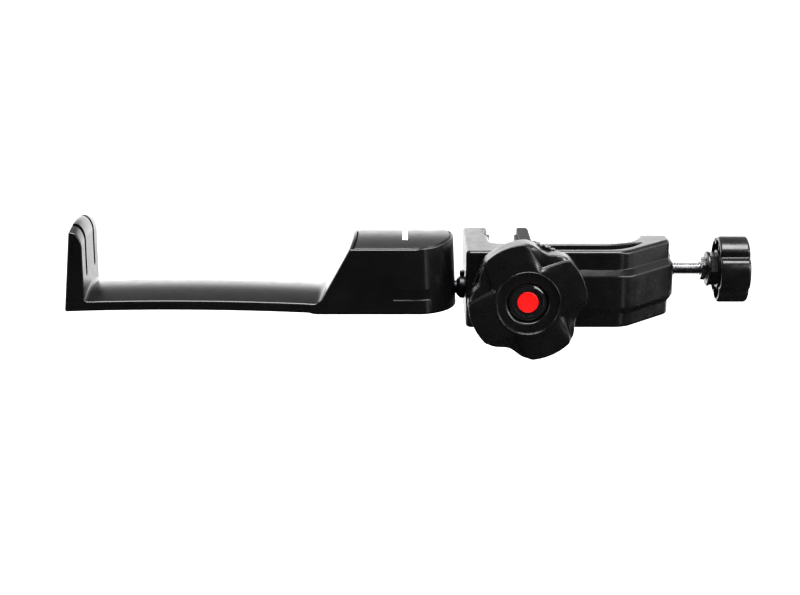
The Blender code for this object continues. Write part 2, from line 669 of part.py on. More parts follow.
def block_loops(inset, left_low, left_high, low, high):
    """Slices through a space or a plate inside the block, inset from its outer walls."""
    loops = []
    for angle in SLICES:
        end_x = END_CENTRE + (END_RADIUS - inset) * math.cos(angle)
        y = ROD_Y + (ARM_HALF_DEPTH - inset) * math.sin(angle)
        loops.append([(left_low, y, low), (left_high, y, high), (end_x, y, high), (end_x, y, low)])
    return loops


def block_layer(name, inset, left, low, high):
    """Plate parallel to the block's arched top; its left edge is parallel to the slope."""
    loops = []
    for angle in SLICES:
        depth = (ARM_HALF_DEPTH - inset) * math.sin(angle)
        end_x = END_CENTRE + (END_RADIUS - END_DRAFT - inset) * math.cos(angle)
        rise = crown(depth)
        points = [(left + slope_lean() * (rise + low), low), (left + slope_lean() * (rise + high), high),
                  (end_x, high), (end_x, low)]
        loops.append([(x, ROD_Y + depth, BLOCK_TOP + rise + z) for x, z in points])
    return loft(name, loops)


def cover_screw_places():
    return [(x, ROD_Y + side * 17.0) for x in (-92.0, -60.0) for side in (-1.0, 1.0)]


def make_panel_cutter():
    """Its inner face follows the front face and the start of the half-round end."""
    angles = (-math.pi / 2.0, math.radians(-75.0), PANEL_END_ANGLE)
    floor = [(END_CENTRE + (END_RADIUS - PANEL_DEPTH) * math.cos(a),
              ROD_Y + (ARM_HALF_DEPTH - PANEL_DEPTH) * math.sin(a)) for a in angles]
    outline = [(PANEL_LEFT, ROD_Y - 40.0), (floor[-1][0], ROD_Y - 40.0), *reversed(floor),
               (PANEL_LEFT, floor[0][1])]
    return prism("panel", "Z", outline, -PANEL_HALF_HEIGHT, PANEL_HALF_HEIGHT)


def make_holder_shell():
    shell = loft("holder_shell", [shell_slice(angle) for angle in SLICES])
    slot_reach = 30.0
    for side in (-1.0, 1.0):
        y = ROD_Y + side * SLOT_OFFSET
        radius = SLOT_WIDTH / 2.0
        outline = arc((y, SLOT_BOTTOM + radius), radius, 180.0, 360.0, 6)
        outline += [(y + radius, 60.0), (y - radius, 60.0)]
        cut(shell, prism("slot", "X", outline, LIP_BOTTOM_X - slot_reach, SEAT_LEFT + 1.5))
    below = BLOCK_BOTTOM - 8.0
    cavity = loft("cavity", block_loops(WALL, cavity_left(below), cavity_left(CAVITY_TOP),
                                        below, CAVITY_TOP))
    lid_seat = block_layer("lid_seat", LID_INSET, BLOCK_LEFT + LID_INSET, -LID_THICKNESS - GAP, 12.0)
    cut(shell, cavity, lid_seat)
    reach = ARM_HALF_DEPTH - 2.0
    bulkhead = box("bulkhead", (BULKHEAD_LEFT, ROD_Y - reach, -9.4),
                   (BULKHEAD_RIGHT, ROD_Y + reach, 23.5))
    join(shell, bulkhead)
    for x, y in cover_screw_places():
        join(shell, turned("post", "Z", (x, y), [(-9.4, 3.5), (23.5, 3.5)], 16))
        cut(shell, turned("pilot", "Z", (x, y), [(-10.5, 1.6), (4.0, 1.6)], 12))
    rod_hole = turned("rod_hole", "X", (ROD_Y, ROD_Z), [(-60.0, 4.3), (-20.0, 4.3)], 24)
    return finish(cut(shell, rod_hole, make_panel_cutter()), "arm_plastic")


def make_holder_lid():
    lid = block_layer("holder_lid", LID_INSET + 0.4, BLOCK_LEFT + LID_INSET + LID_LEFT_GAP,
                      -LID_THICKNESS, 0.0)
    groove = loft("groove", stripe_loops(GAP, -1.3, 4.0))
    return finish(cut(lid, groove), "lid_plastic")


def stripe_loops(margin, low, high):
    """Arched bar across the lid; margin widens it on every side in plan."""
    x0 = STRIPE_LEFT - margin
    x1 = STRIPE_LEFT + STRIPE_WIDTH + margin
    half = STRIPE_HALF_LENGTH + margin
    loops = []
    for i in range(-4, 5):
        depth = half * i / 4.0
        rise = BLOCK_TOP + crown(depth)
        loops.append([(x0, ROD_Y + depth, rise + low), (x0, ROD_Y + depth, rise + high),
                      (x1, ROD_Y + depth, rise + high), (x1, ROD_Y + depth, rise + low)])
    return loops


def make_lid_stripe():
    return finish(loft("lid_stripe", stripe_loops(0.0, -1.0, 0.0)), "stripe_white")


def make_base_cover():
    top = BLOCK_BOTTOM + COVER_THICKNESS
    cover = loft("base_cover", block_loops(WALL + GAP, cavity_left(BLOCK_BOTTOM) + GAP,
                                           cavity_left(top) + GAP, BLOCK_BOTTOM, top))
    for x, y in cover_screw_places():
        profile = [(-20.0, 3.1), (BLOCK_BOTTOM + 1.2, 3.1), (BLOCK_BOTTOM + 1.2, 1.8), (0.0, 1.8)]
        cut(cover, turned("screw_hole", "Z", (x, y), profile, 16))
    return finish(cover, "arm_plastic")


def make_base_cover_screws():
    profile = [(BLOCK_BOTTOM, 2.4), (BLOCK_BOTTOM + 0.9, 2.8), (BLOCK_BOTTOM + 0.9, 1.3),
               (-1.0, 1.3), (0.0, 0.5)]
    return [finish(turned(f"base_cover_screw_{i}", "Z", centre, profile, 16), "zinc_steel")
            for i, centre in enumerate(cover_screw_places(), 1)]


# ---------------------------------------------------------------- assembly

def build():
    clear_scene()
    body("frame_body", (0.0, 0.0, 0.0),
         [make_clamp_frame(), make_fixed_jaw_pad(), make_screw_bush(), make_lock_screw_bush()])
    body("jaw_body", (JAW_FACE, 0.0, 0.0),
         [make_moving_jaw(), make_moving_jaw_pad(), make_retaining_clip()])
    body("screw_body", (KNOB_LEFT, 0.0, 0.0),
         [make_clamp_screw(), make_screw_jam_nut(), make_clamp_knob_hub(), make_clamp_knob(),
          make_clamp_knob_cap()])
    body("shoe_body", (LOCK_X, LOCK_SCREW_TIP, ROD_Z), [make_pressure_shoe()])
    body("lock_body", (LOCK_X, HEAD_BACK, ROD_Z),
         [make_lock_screw(), make_lock_knob(), make_lock_knob_skirt(), make_lock_knob_cap(),
          make_lock_knob_badge()])
    body("collet_body", (0.0, ROD_Y, ROD_Z), [make_rod_collet()])
    body("arm_body", (FRAME_LEFT, ROD_Y, ROD_Z),
         [make_arm_rod(), make_stop_collar(), make_collar_screw(), *make_rod_nuts(),
          *make_rod_washers(), make_holder_shell(), make_holder_lid(), make_lid_stripe(),
          make_base_cover(), *make_base_cover_screws()])


build()
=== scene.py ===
"""Looks of the headphone holder arm and its C-clamp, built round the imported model.

Lengths of the object are in millimetres until mesh_object makes metres of them; the camera, floor,
flags and lights are placed in metres. The frame is the model's own: +X from the arm towards the
clamp screw, -Y towards the user, +Z up.
"""
import math

import bmesh
import bpy
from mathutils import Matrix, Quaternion, Vector


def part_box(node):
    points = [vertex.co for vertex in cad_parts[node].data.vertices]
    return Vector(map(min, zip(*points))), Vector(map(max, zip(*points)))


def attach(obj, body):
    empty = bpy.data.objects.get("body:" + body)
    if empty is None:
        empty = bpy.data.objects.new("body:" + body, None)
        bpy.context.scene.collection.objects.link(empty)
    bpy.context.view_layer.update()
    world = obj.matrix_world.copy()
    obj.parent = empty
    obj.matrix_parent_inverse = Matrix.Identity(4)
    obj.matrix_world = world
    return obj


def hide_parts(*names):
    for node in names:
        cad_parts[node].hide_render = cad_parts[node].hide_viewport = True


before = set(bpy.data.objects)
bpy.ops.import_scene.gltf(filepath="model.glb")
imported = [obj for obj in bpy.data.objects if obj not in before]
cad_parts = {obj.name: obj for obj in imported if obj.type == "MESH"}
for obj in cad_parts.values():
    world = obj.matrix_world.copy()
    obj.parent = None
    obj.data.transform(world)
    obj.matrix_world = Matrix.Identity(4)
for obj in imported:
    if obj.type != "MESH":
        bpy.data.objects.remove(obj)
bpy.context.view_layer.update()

MM = 0.001


def cad_box(node):
    """Lowest and highest corner of a CAD node, in millimetres."""
    low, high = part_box(node)
    return low / MM, high / MM


def cad_centre(node):
    low, high = cad_box(node)
    return (low + high) / 2.0


# ---------------------------------------------------------------- camera

CAMERA_PLACE = (-0.0643, -1.0674, 0.2665)
CAMERA_PITCH = 15.0
CAMERA_LENS = 76.5


def make_camera():
    data = bpy.data.cameras.new("camera")
    data.lens = CAMERA_LENS
    data.sensor_width = 36.0
    data.clip_end = 60.0
    camera = bpy.data.objects.new("camera", data)
    camera.location = CAMERA_PLACE
    camera.rotation_euler = (math.radians(90.0 - CAMERA_PITCH), 0.0, 0.0)
    bpy.context.scene.collection.objects.link(camera)
    bpy.context.scene.camera = camera


make_camera()


# ---------------------------------------------------------------- outlines

def arc(centre, radius, start, end, steps):
    """Points on a circle or, with a pair of radii, on an ellipse; angles in degrees."""
    ru, rv = radius if isinstance(radius, tuple) else (radius, radius)
    angles = [math.radians(start + (end - start) * i / steps) for i in range(steps + 1)]
    return [(centre[0] + ru * math.cos(a), centre[1] + rv * math.sin(a)) for a in angles]


def circle(radius, steps, centre=(0.0, 0.0), phase=0.0):
    return arc(centre, radius, phase, phase + 360.0 - 360.0 / steps, steps - 1)


def hexagon(across_flats, centre=(0.0, 0.0), phase=0.0):
    return circle(across_flats / math.sqrt(3.0), 6, centre, phase)


def bezier(p0, p1, p2, p3, steps):
    """Cubic curve."""
    points = []
    for i in range(steps + 1):
        t = i / steps
        s = 1.0 - t
        points.append(tuple(s**3 * a + 3 * s * s * t * b + 3 * s * t * t * c + t**3 * d
                            for a, b, c, d in zip(p0, p1, p2, p3)))
    return points


def inset(outline, distance):
    """Closed outline moved inwards by distance, whichever way round it runs."""
    count = len(outline)
    turn = sum(outline[i - 1][0] * outline[i][1] - outline[i][0] * outline[i - 1][1]
               for i in range(count))
    side = math.copysign(distance, turn)
    moved = []
    for i, (x, y) in enumerate(outline):
        before, after = outline[i - 1], outline[(i + 1) % count]
        in_size = math.hypot(x - before[0], y - before[1])
        out_size = math.hypot(after[0] - x, after[1] - y)
        n0 = ((before[1] - y) / in_size, (x - before[0]) / in_size)
        n1 = ((y - after[1]) / out_size, (after[0] - x) / out_size)
        share = side / max(0.3, 1.0 + n0[0] * n1[0] + n0[1] * n1[1])
        moved.append((x + (n0[0] + n1[0]) * share, y + (n0[1] + n1[1]) * share))
    return moved


def edge_round(radius, steps=4):
    """(inset, height) steps of a quarter-round edge, from the flat end face to the side."""
    angles = [math.pi / 2.0 * i / steps for i in range(steps + 1)]
    return [(radius * (1.0 - math.sin(a)), radius * (1.0 - math.cos(a))) for a in angles]


# ---------------------------------------------------------------- solids

def mesh_object(name, verts, faces):
    mesh = bpy.data.meshes.new(name)
    mesh.from_pydata([Vector(v) * MM for v in verts], [], faces)
    bm = bmesh.new()
    bm.from_mesh(mesh)
    bmesh.ops.recalc_face_normals(bm, faces=bm.faces)
    bm.to_mesh(mesh)
    bm.free()
    obj = bpy.data.objects.new(name, mesh)
    bpy.context.scene.collection.objects.link(obj)
    return obj


def loft(name, loops, ring=False):
    """Solid skinned through loops of equal length, capped at its ends or closed into a ring."""
    count = len(loops[0])
    verts = [point for loop in loops for point in loop]
    starts = [row * count for row in range(len(loops))]
    pairs = list(zip(starts, starts[1:]))
    faces = []
    if ring:
        pairs.append((starts[-1], starts[0]))
    else:
        faces.append(tuple(range(count)))
        faces.append(tuple(range(starts[-1], starts[-1] + count)))
    for low, high in pairs:
        for i in range(count):
            j = (i + 1) % count
            faces.append((low + i, low + j, high + j, high + i))
    return mesh_object(name, verts, faces)


def place(axis, u, v, along):
    return {"X": (along, u, v), "Y": (u, along, v), "Z": (u, v, along)}[axis]


def prism(name, axis, outline, low, high, rounding=0.0):
    """Outline swept along axis, with both end edges rounded."""
    if rounding:
        edge = edge_round(rounding)
        levels = [(low + rise, shrink) for shrink, rise in edge]
        levels += [(high - rise, shrink) for shrink, rise in reversed(edge)]
    else:
        levels = [(low, 0.0), (high, 0.0)]
    loops = []
    for along, shrink in levels:
        shape = inset(outline, shrink) if shrink else outline
        loops.append([place(axis, u, v, along) for u, v in shape])
    return loft(name, loops)


def box(name, low, high):
    outline = [(low[0], low[1]), (high[0], low[1]), (high[0], high[1]), (low[0], high[1])]
    return prism(name, "Z", outline, low[2], high[2])


def turned(name, axis, centre, profile, sides, ring=False):
    """Solid of revolution through (along, radius) points."""
    loops = [[place(axis, u, v, along) for u, v in circle(radius, sides, centre)]
             for along, radius in profile]
    return loft(name, loops, ring)


def apply_boolean(obj, cutter, operation):
    modifier = obj.modifiers.new("boolean", "BOOLEAN")
    modifier.operation = operation
    modifier.solver = "EXACT"
    modifier.object = cutter
    view = bpy.context.evaluated_depsgraph_get()
    result = bpy.data.meshes.new_from_object(obj.evaluated_get(view))
    bm = bmesh.new()
    bm.from_mesh(result)
    bmesh.ops.remove_doubles(bm, verts=bm.verts, dist=0.002 * MM)
    bmesh.ops.dissolve_degenerate(bm, edges=bm.edges, dist=0.002 * MM)
    bm.to_mesh(result)
    bm.free()
    obj.modifiers.clear()
    obj.data = result
    bpy.data.objects.remove(cutter)


def cut(obj, *cutters):
    for cutter in cutters:
        apply_boolean(obj, cutter, "DIFFERENCE")


def join(obj, *others):
    for other in others:
        apply_boolean(obj, other, "UNION")


# ---------------------------------------------------------------- materials

NOISE_LOW = 0.3                 # nearly all of a noise texture's values lie between these two
NOISE_HIGH = 0.7


class Nodes:
    """Short hand for building one material's node tree."""

    def __init__(self, name):
        self.material = bpy.data.materials.new(name)
        self.material.use_nodes = True
        self.tree = self.material.node_tree
        self.shader = self.tree.nodes["Principled BSDF"]
        self.place = self.add("ShaderNodeTexCoord").outputs["Object"]

    def add(self, kind, **settings):
        node = self.tree.nodes.new(kind)
        for key, value in settings.items():
            setattr(node, key, value)
        return node

    def link(self, source, target):
        self.tree.links.new(source, target)

    def set(self, **values):
        for key, value in values.items():
            self.shader.inputs[key.replace("_", " ")].default_value = value

    def stretched(self, scale):
        mapping = self.add("ShaderNodeMapping")
        mapping.inputs["Scale"].default_value = scale
        self.link(self.place, mapping.inputs["Vector"])
        return mapping.outputs["Vector"]

    def noise(self, scale, detail, roughness=0.5, vector=None):
        """Noise with about scale bumps to the millimetre."""
        node = self.add("ShaderNodeTexNoise")
        node.inputs["Scale"].default_value = scale / MM
        node.inputs["Detail"].default_value = detail
        node.inputs["Roughness"].default_value = roughness
        self.link(vector or self.place, node.inputs["Vector"])
        return node.outputs["Fac"]

    def spread(self, value, low, high):
        """The noise value mapped from its usual range to low..high."""
        node = self.add("ShaderNodeMapRange")
        node.inputs["From Min"].default_value = NOISE_LOW
        node.inputs["From Max"].default_value = NOISE_HIGH
        node.inputs["To Min"].default_value = low
        node.inputs["To Max"].default_value = high
        self.link(value, node.inputs["Value"])
        return node.outputs["Result"]

    def colours(self, value, first, second):
        ramp = self.add("ShaderNodeValToRGB")
        ramp.color_ramp.elements[0].position = NOISE_LOW
        ramp.color_ramp.elements[0].color = (*first, 1.0)
        ramp.color_ramp.elements[1].position = NOISE_HIGH
        ramp.color_ramp.elements[1].color = (*second, 1.0)
        self.link(value, ramp.inputs["Fac"])
        self.link(ramp.outputs["Color"], self.shader.inputs["Base Color"])

    def roughness(self, value):
        self.link(value, self.shader.inputs["Roughness"])

    def bump(self, height, depth, previous=None):
        """Bump of the given depth in millimetres."""
        node = self.add("ShaderNodeBump")
        node.inputs["Strength"].default_value = 1.0
        node.inputs["Distance"].default_value = depth * MM
        self.link(height, node.inputs["Height"])
        if previous:
            self.link(previous, node.inputs["Normal"])
        self.link(node.outputs["Normal"], self.shader.inputs["Normal"])
        return node.outputs["Normal"]


def plastic(name, dark, light, rough, grain, depth, specular=0.5):
    """Black moulded plastic: spark-eroded grain, faint mottling and uneven gloss."""
    nodes = Nodes(name)
    nodes.set(Specular_IOR_Level=specular)
    nodes.colours(nodes.noise(0.05, 4.0), (dark,) * 3, (light, light, light * 1.05))
    nodes.roughness(nodes.spread(nodes.noise(0.12, 5.0, 0.6), rough - 0.04, rough + 0.05))
    first = nodes.bump(nodes.noise(grain, 3.0, 0.6), depth)
    nodes.bump(nodes.noise(grain * 0.22, 2.0), depth * 1.2, first)
    return nodes.material


def metal(name, dark, light, rough, stretch, depth):
    """Metal with fine turning marks across the direction in which stretch is small."""
    nodes = Nodes(name)
    nodes.set(Metallic=1.0)
    marks = nodes.noise(1.0, 4.0, 0.6, nodes.stretched(stretch))
    nodes.colours(nodes.noise(0.3, 4.0), dark, light)
    nodes.roughness(nodes.spread(marks, rough - 0.06, rough + 0.1))
    nodes.bump(marks, depth)
    return nodes.material


def rubber():
    nodes = Nodes("pad_rubber")
    nodes.colours(nodes.noise(0.4, 5.0), (0.008,) * 3, (0.02,) * 3)
    nodes.roughness(nodes.spread(nodes.noise(0.8, 4.0), 0.7, 0.9))
    nodes.bump(nodes.noise(3.0, 4.0, 0.7), 0.04)
    return nodes.material


def painted(name, first, second, rough, depth):
    """Even coloured inlay with a trace of print texture."""
    nodes = Nodes(name)
    nodes.colours(nodes.noise(0.5, 4.0), first, second)
    nodes.roughness(nodes.spread(nodes.noise(1.2, 3.0), rough - 0.05, rough + 0.07))
    nodes.bump(nodes.noise(2.5, 3.0), depth)
    return nodes.material


ARM = plastic("arm_plastic", 0.0014, 0.0024, 0.22, 2.2, 0.005, 0.45)
LID = plastic("lid_plastic", 0.0028, 0.0045, 0.30, 2.6, 0.008)
CLAMP = plastic("clamp_paint", 0.0014, 0.0026, 0.24, 1.8, 0.006, 0.42)
KNOB = plastic("knob_plastic", 0.0014, 0.0026, 0.26, 1.1, 0.012, 0.42)
JAW = plastic("jaw_plastic", 0.0014, 0.0026, 0.62, 0.9, 0.05, 0.25)
GLOSS = plastic("cap_gloss", 0.003, 0.006, 0.10, 3.0, 0.001)
RED = painted("badge_red", (0.62, 0.0005, 0.0005), (0.74, 0.0012, 0.001), 0.16, 0.001)
WHITE = painted("stripe_white", (0.80, 0.80, 0.80), (0.90, 0.90, 0.89), 0.40, 0.004)
RUBBER = rubber()
ZINC = metal("zinc_steel", (0.42, 0.43, 0.46), (0.58, 0.59, 0.61), 0.16, (0.2, 3.0, 3.0), 0.002)
SCREW_STEEL = metal("screw_steel", (0.26, 0.26, 0.27), (0.36, 0.36, 0.37), 0.18, (0.2, 3.0, 3.0), 0.002)
DARK_STEEL = metal("dark_steel", (0.02, 0.02, 0.022), (0.045, 0.045, 0.05), 0.34, (3.0, 0.4, 0.4),
                   0.003)
BRASS = metal("insert_brass", (0.60, 0.42, 0.18), (0.76, 0.57, 0.28), 0.28, (3.0, 3.0, 0.4), 0.003)
NYLON = painted("collet_nylon", (0.52, 0.52, 0.48), (0.64, 0.64, 0.60), 0.5, 0.01)


def dress(obj, material, sharp_angle, body, replaces):
    """Finish one new piece: material, smooth shading that keeps flat faces flat, body, and the CAD pieces
    it replaces hidden.
    """
    obj.data.materials.clear()
    obj.data.materials.append(material)
    obj.data.shade_smooth()
    obj.data.set_sharp_from_angle(angle=math.radians(sharp_angle))
    weighted = obj.modifiers.new("weighted_normals", "WEIGHTED_NORMAL")
    weighted.keep_sharp = True
    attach(obj, body)
    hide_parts(*replaces)


# ---------------------------------------------------------------- holder arm

SHELL_LOW, SHELL_HIGH = cad_box("holder_shell")
ARM_Y = (SHELL_LOW.y + SHELL_HIGH.y) / 2.0
HALF_DEPTH = (SHELL_HIGH.y - SHELL_LOW.y) / 2.0
ROD = cad_centre("arm_rod")
ARM_CROWN = 4.4
LIP_CROWN = 3.0
LIP_TOP_X = SHELL_LOW.x + 4.3
LIP_TOP_Z = SHELL_HIGH.z - LIP_CROWN
SEAT_LEFT = -256.6
SEAT_RIGHT = -113.8
SEAT_CREST_X = -205.0           # the seat's front edge is a flat bow, highest here
SEAT_CREST_Z = -3.6
SEAT_BOW = 1.7                  # it has dropped this far after SEAT_BOW_REACH
SEAT_BOW_REACH = 80.0
ARM_THICKNESS = 5.9
BLOCK_LEFT = -95.0
BLOCK_TOP = 28.3
BLOCK_BOTTOM = SHELL_LOW.z
BLOCK_FOOT_LEFT = -118.0
END_RADIUS = 26.0
END_CENTRE = SHELL_HIGH.x - END_RADIUS
END_DRAFT = 1.9
EDGE = 1.0
RIM = 1.3
LID_INSET = 1.6
LID_LEFT_GAP = 0.9
LID_DEPTH = 2.5
LID_GAP = 0.45
LID_SOFT = 0.35                 # rounding of the lid's edges
SHELL_WALL = 3.2
CAVITY_HIGH = 22.0
ROD_HOLE_RADIUS = 4.4
SLOT_DEPTHS = (-14.0, 14.0)     # places of the two cord slots across the lip
SLOT_HALF_WIDTH = 2.4
SLOT_BOTTOM = 9.0
PANEL_LEFT = -68.6
PANEL_END_ANGLE = -67.0
PANEL_HALF_HEIGHT = 3.5
PANEL_DEPTH = 0.7


def seat_z(x):
    return SEAT_CREST_Z - SEAT_BOW * ((x - SEAT_CREST_X) / SEAT_BOW_REACH) ** 2


def slope_lean():
    """Run of the flat slope between seat and block, for each unit of height."""
    return (BLOCK_LEFT - SEAT_RIGHT) / (BLOCK_TOP - seat_z(SEAT_RIGHT))


def side_profile(share, end_share):
    """Outline of the arm in X and Z; share of the arch's rise, and of the round end's reach."""
    rise = ARM_CROWN * share
    shift = rise * slope_lean()
    lip_rise = LIP_CROWN * share
    under = (ARM_CROWN - 1.0) * share
    end_x = END_CENTRE + END_RADIUS * end_share

    def underside(x):
        return (x, seat_z(x) - ARM_THICKNESS + under)

    foot = underside(SHELL_LOW.x)
    corner = 1.2
    points = arc((foot[0] + corner, foot[1] + corner), corner, 270.0, 180.0, 4)
    tip = arc((LIP_TOP_X + corner, LIP_TOP_Z - corner), corner, 180.0, 100.0, 4)
    tip += arc((LIP_TOP_X + 1.5, LIP_TOP_Z - 10.0), (6.4, 10.0), 82.0, 0.0, 14)
    tip += [(SEAT_LEFT - 0.05, 18.0)]
    points += [(x, z + lip_rise) for x, z in tip]
    points.append((SEAT_LEFT, 8.0 + rise))
    corner = 2.2
    centre = (SEAT_LEFT + corner, seat_z(SEAT_LEFT + corner) + corner)
    points += [(x, z + rise) for x, z in arc(centre, corner, 184.0, 268.0, 8)]
    fillet = 6.0
    low = seat_z(SEAT_RIGHT)
    slope = math.degrees(math.atan(1.0 / slope_lean()))
    run = (SEAT_RIGHT + shift - fillet * math.tan(math.radians(slope / 2.0)), low + fillet)
    start = SEAT_LEFT + corner
    steps = 24
    for i in range(1, steps):
        x = start + (run[0] - start) * i / steps
        points.append((x, seat_z(x) + rise))
    points += [(x, z + rise) for x, z in arc(run, fillet, 271.0, 270.0 + slope, 10)]
    reach = 1.3
    top_left = BLOCK_LEFT + shift
    shoulder = (top_left + reach * math.tan(math.radians(slope / 2.0)), BLOCK_TOP - reach)
    points += [(x, z + rise) for x, z in arc(shoulder, reach, 90.0 + slope, 90.0, 5)]
    for i in range(1, 8):
        points.append((top_left + 2.0 + (end_x - END_DRAFT - RIM - 2.5 - top_left) * i / 8.0,
                       BLOCK_TOP + rise))
    rim = arc((end_x - END_DRAFT - RIM, BLOCK_TOP - RIM), RIM, 90.0, 4.0, 5)
    points += [(x, z + rise) for x, z in rim]
    points += arc((end_x - RIM, BLOCK_BOTTOM + RIM), RIM, 0.0, -90.0, 5)
    points += [(BLOCK_FOOT_LEFT + 3.0, BLOCK_BOTTOM), (BLOCK_FOOT_LEFT + 1.0, BLOCK_BOTTOM + 0.25)]
    step = underside(BLOCK_FOOT_LEFT - 2.0)
    points.append((BLOCK_FOOT_LEFT - 0.6, BLOCK_BOTTOM + (step[1] - BLOCK_BOTTOM) * 0.6))
    points.append(step)
    for i in range(1, 20):
        points.append(underside(step[0] + (foot[0] + 6.0 - step[0]) * i / 20.0))
    return points


def depth_stations():
    """(depth from the middle, edge inset) across the arm; the edges of both sides are rounded."""
    edge = [(HALF_DEPTH - rise, shrink) for shrink, rise in edge_round(EDGE, 5)]
    middle = [HALF_DEPTH * math.sin(math.radians(a)) for a in range(-72, 73, 6)]
    stations = [(-depth, shrink) for depth, shrink in edge]
    stations += [(depth, 0.0) for depth in middle]
    return stations + list(reversed(edge))


def slope_share(x, z):
    """One along the slope, falling to nothing at its foot and shoulder; its edge is rounded wider."""
    if z < seat_z(x) - 3.0:
        return 0.0
    rising = min(1.0, max(0.0, (x - SEAT_RIGHT + 4.0) / 6.0))
    falling = min(1.0, max(0.0, (BLOCK_LEFT + 1.2 - x) / 2.0))
    return rising * falling


def shell_loops():
    loops = []
    for depth, shrink in depth_stations():
        s = depth / HALF_DEPTH
        outline = side_profile(1.0 - s * s, math.sqrt(max(0.0, 1.0 - s * s)))
        if shrink:
            wide = inset(outline, 2.0 * shrink)
            shares = [slope_share(x, z) for x, z in outline]
            outline = [(x + (u - x) * t, z + (v - z) * t)
                       for (x, z), (u, v), t in zip(inset(outline, shrink), wide, shares)]
        loops.append([(x, ARM_Y + depth, z) for x, z in outline])
    return loops


def lid_loops(gap, low, high, crisp=False):
    """Arched plate in the block's top; gap narrows it all round."""
    half = HALF_DEPTH - LID_INSET - gap
    reach = END_RADIUS - END_DRAFT - LID_INSET - gap
    soft = 0.0 if crisp else LID_SOFT
    edge = [(half - rise, shrink) for shrink, rise in edge_round(soft, 3)] if soft else [(half, 0.0)]
    middle = [half * math.sin(math.radians(a)) for a in range(-80, 81, 5)]
    stations = [(-depth, shrink) for depth, shrink in edge] + [(d, 0.0) for d in middle]
    stations += list(reversed(edge))
    loops = []
    for depth, shrink in stations:
        s = depth / HALF_DEPTH
        rise = ARM_CROWN * (1.0 - s * s)
        left = BLOCK_LEFT + LID_INSET + (LID_LEFT_GAP if gap else 0.0) + slope_lean() * rise
        end_x = END_CENTRE + reach * math.sqrt(max(0.0, 1.0 - (depth / half) ** 2))
        top = BLOCK_TOP + high
        shape = [(left + slope_lean() * low, BLOCK_TOP + low)]
        shape += [(left, top - 0.3), (left + 0.3, top)] if soft else [(left + slope_lean() * high, top)]
        shape += [(left + (end_x - 0.5 - left) * i / 8.0, top) for i in range(1, 8)]
        shape += [(end_x - 0.3, top), (end_x, top - 0.3)] if soft else [(end_x, top)]
        shape += [(end_x, BLOCK_TOP + low)]
        if shrink:
            shape = inset(shape, shrink)
        loops.append([(x, ARM_Y + depth, z + rise) for x, z in shape])
    return loops


def stripe_loops(margin, low, high):
    stripe_low, stripe_high = cad_box("lid_stripe")
    x0 = stripe_low.x - margin
    x1 = stripe_high.x + margin
    half = (stripe_high.y - stripe_low.y) / 2.0 + margin
    loops = []
    for i in range(-12, 13):
        depth = half * i / 12.0
        rise = BLOCK_TOP + ARM_CROWN * (1.0 - (depth / HALF_DEPTH) ** 2)
        loops.append([(x0, ARM_Y + depth, rise + low), (x0, ARM_Y + depth, rise + high),
                      (x1, ARM_Y + depth, rise + high), (x1, ARM_Y + depth, rise + low)])
    return loops


def slot_cutter(depth):
    y = ARM_Y + depth
    above_lip = SHELL_HIGH.z + 18.0
    outline = arc((y, SLOT_BOTTOM + SLOT_HALF_WIDTH), SLOT_HALF_WIDTH, 180.0, 360.0, 12)
    outline += [(y + SLOT_HALF_WIDTH, above_lip), (y - SLOT_HALF_WIDTH, above_lip)]
    return prism("slot", "X", outline, SHELL_LOW.x - 20.0, SEAT_LEFT + 1.5)


def panel_cutter():
    """Shallow recess low on the front face that carries on into the start of the round end."""
    loops = []
    for out, grow in ((6.0, 4.2), (0.0, 0.0), (-PANEL_DEPTH, -0.45)):
        stop = math.radians(PANEL_END_ANGLE) + grow / END_RADIUS
        floor = [(PANEL_LEFT - grow, ARM_Y - HALF_DEPTH - out)]
        floor += arc((END_CENTRE, ARM_Y), (END_RADIUS + out, HALF_DEPTH + out),
                     -90.0, math.degrees(stop), 8)
        top = PANEL_HALF_HEIGHT + grow
        loops.append([(x, y, -top) for x, y in floor] + [(x, y, top) for x, y in reversed(floor)])
    return loft("panel", loops)


def cavity_cutter():
    """Hollow of the block, open below, with a sloping left-hand wall and a round end."""
    low = BLOCK_BOTTOM - 8.0
    foot, head = [BLOCK_LEFT - 5.0 + 0.4 * (z - BLOCK_BOTTOM) for z in (low, CAVITY_HIGH)]
    loops = []
    for angle in range(-90, 91, 7):
        y = ARM_Y + (HALF_DEPTH - SHELL_WALL) * math.sin(math.radians(angle))
        end_x = END_CENTRE + (END_RADIUS - SHELL_WALL) * max(math.cos(math.radians(angle)), 0.02)
        loops.append([(foot, y, low), (head, y, CAVITY_HIGH), (end_x, y, CAVITY_HIGH), (end_x, y, low)])
    return loft("cavity", loops)


def make_holder():
    """Shell with its hollow, recess and slots, and the lid and stripe let into its top."""
    shell = loft("holder_shell_fine", shell_loops())
    rod_hole = turned("rod_hole", "X", (ROD.y, ROD.z),
                      [(END_CENTRE, ROD_HOLE_RADIUS), (SHELL_HIGH.x + 10.0, ROD_HOLE_RADIUS)], 48)
    cut(shell, cavity_cutter(), loft("lid_seat", lid_loops(0.0, -LID_DEPTH, 12.0, True)),
        rod_hole, panel_cutter(), *[slot_cutter(depth) for depth in SLOT_DEPTHS])
    dress(shell, ARM, 38.0, "arm", ["holder_shell"])
    lid = loft("holder_lid_fine", lid_loops(LID_GAP, 0.2 - LID_DEPTH, -0.05))
    cut(lid, loft("groove", stripe_loops(0.12, -1.0, 4.0)))
    dress(lid, LID, 38.0, "arm", ["holder_lid"])
    stripe = loft("lid_stripe_fine", stripe_loops(0.0, -0.9, 0.02))
    dress(stripe, WHITE, 38.0, "arm", ["lid_stripe"])


make_holder()


# ---------------------------------------------------------------- rod, collar and set screw

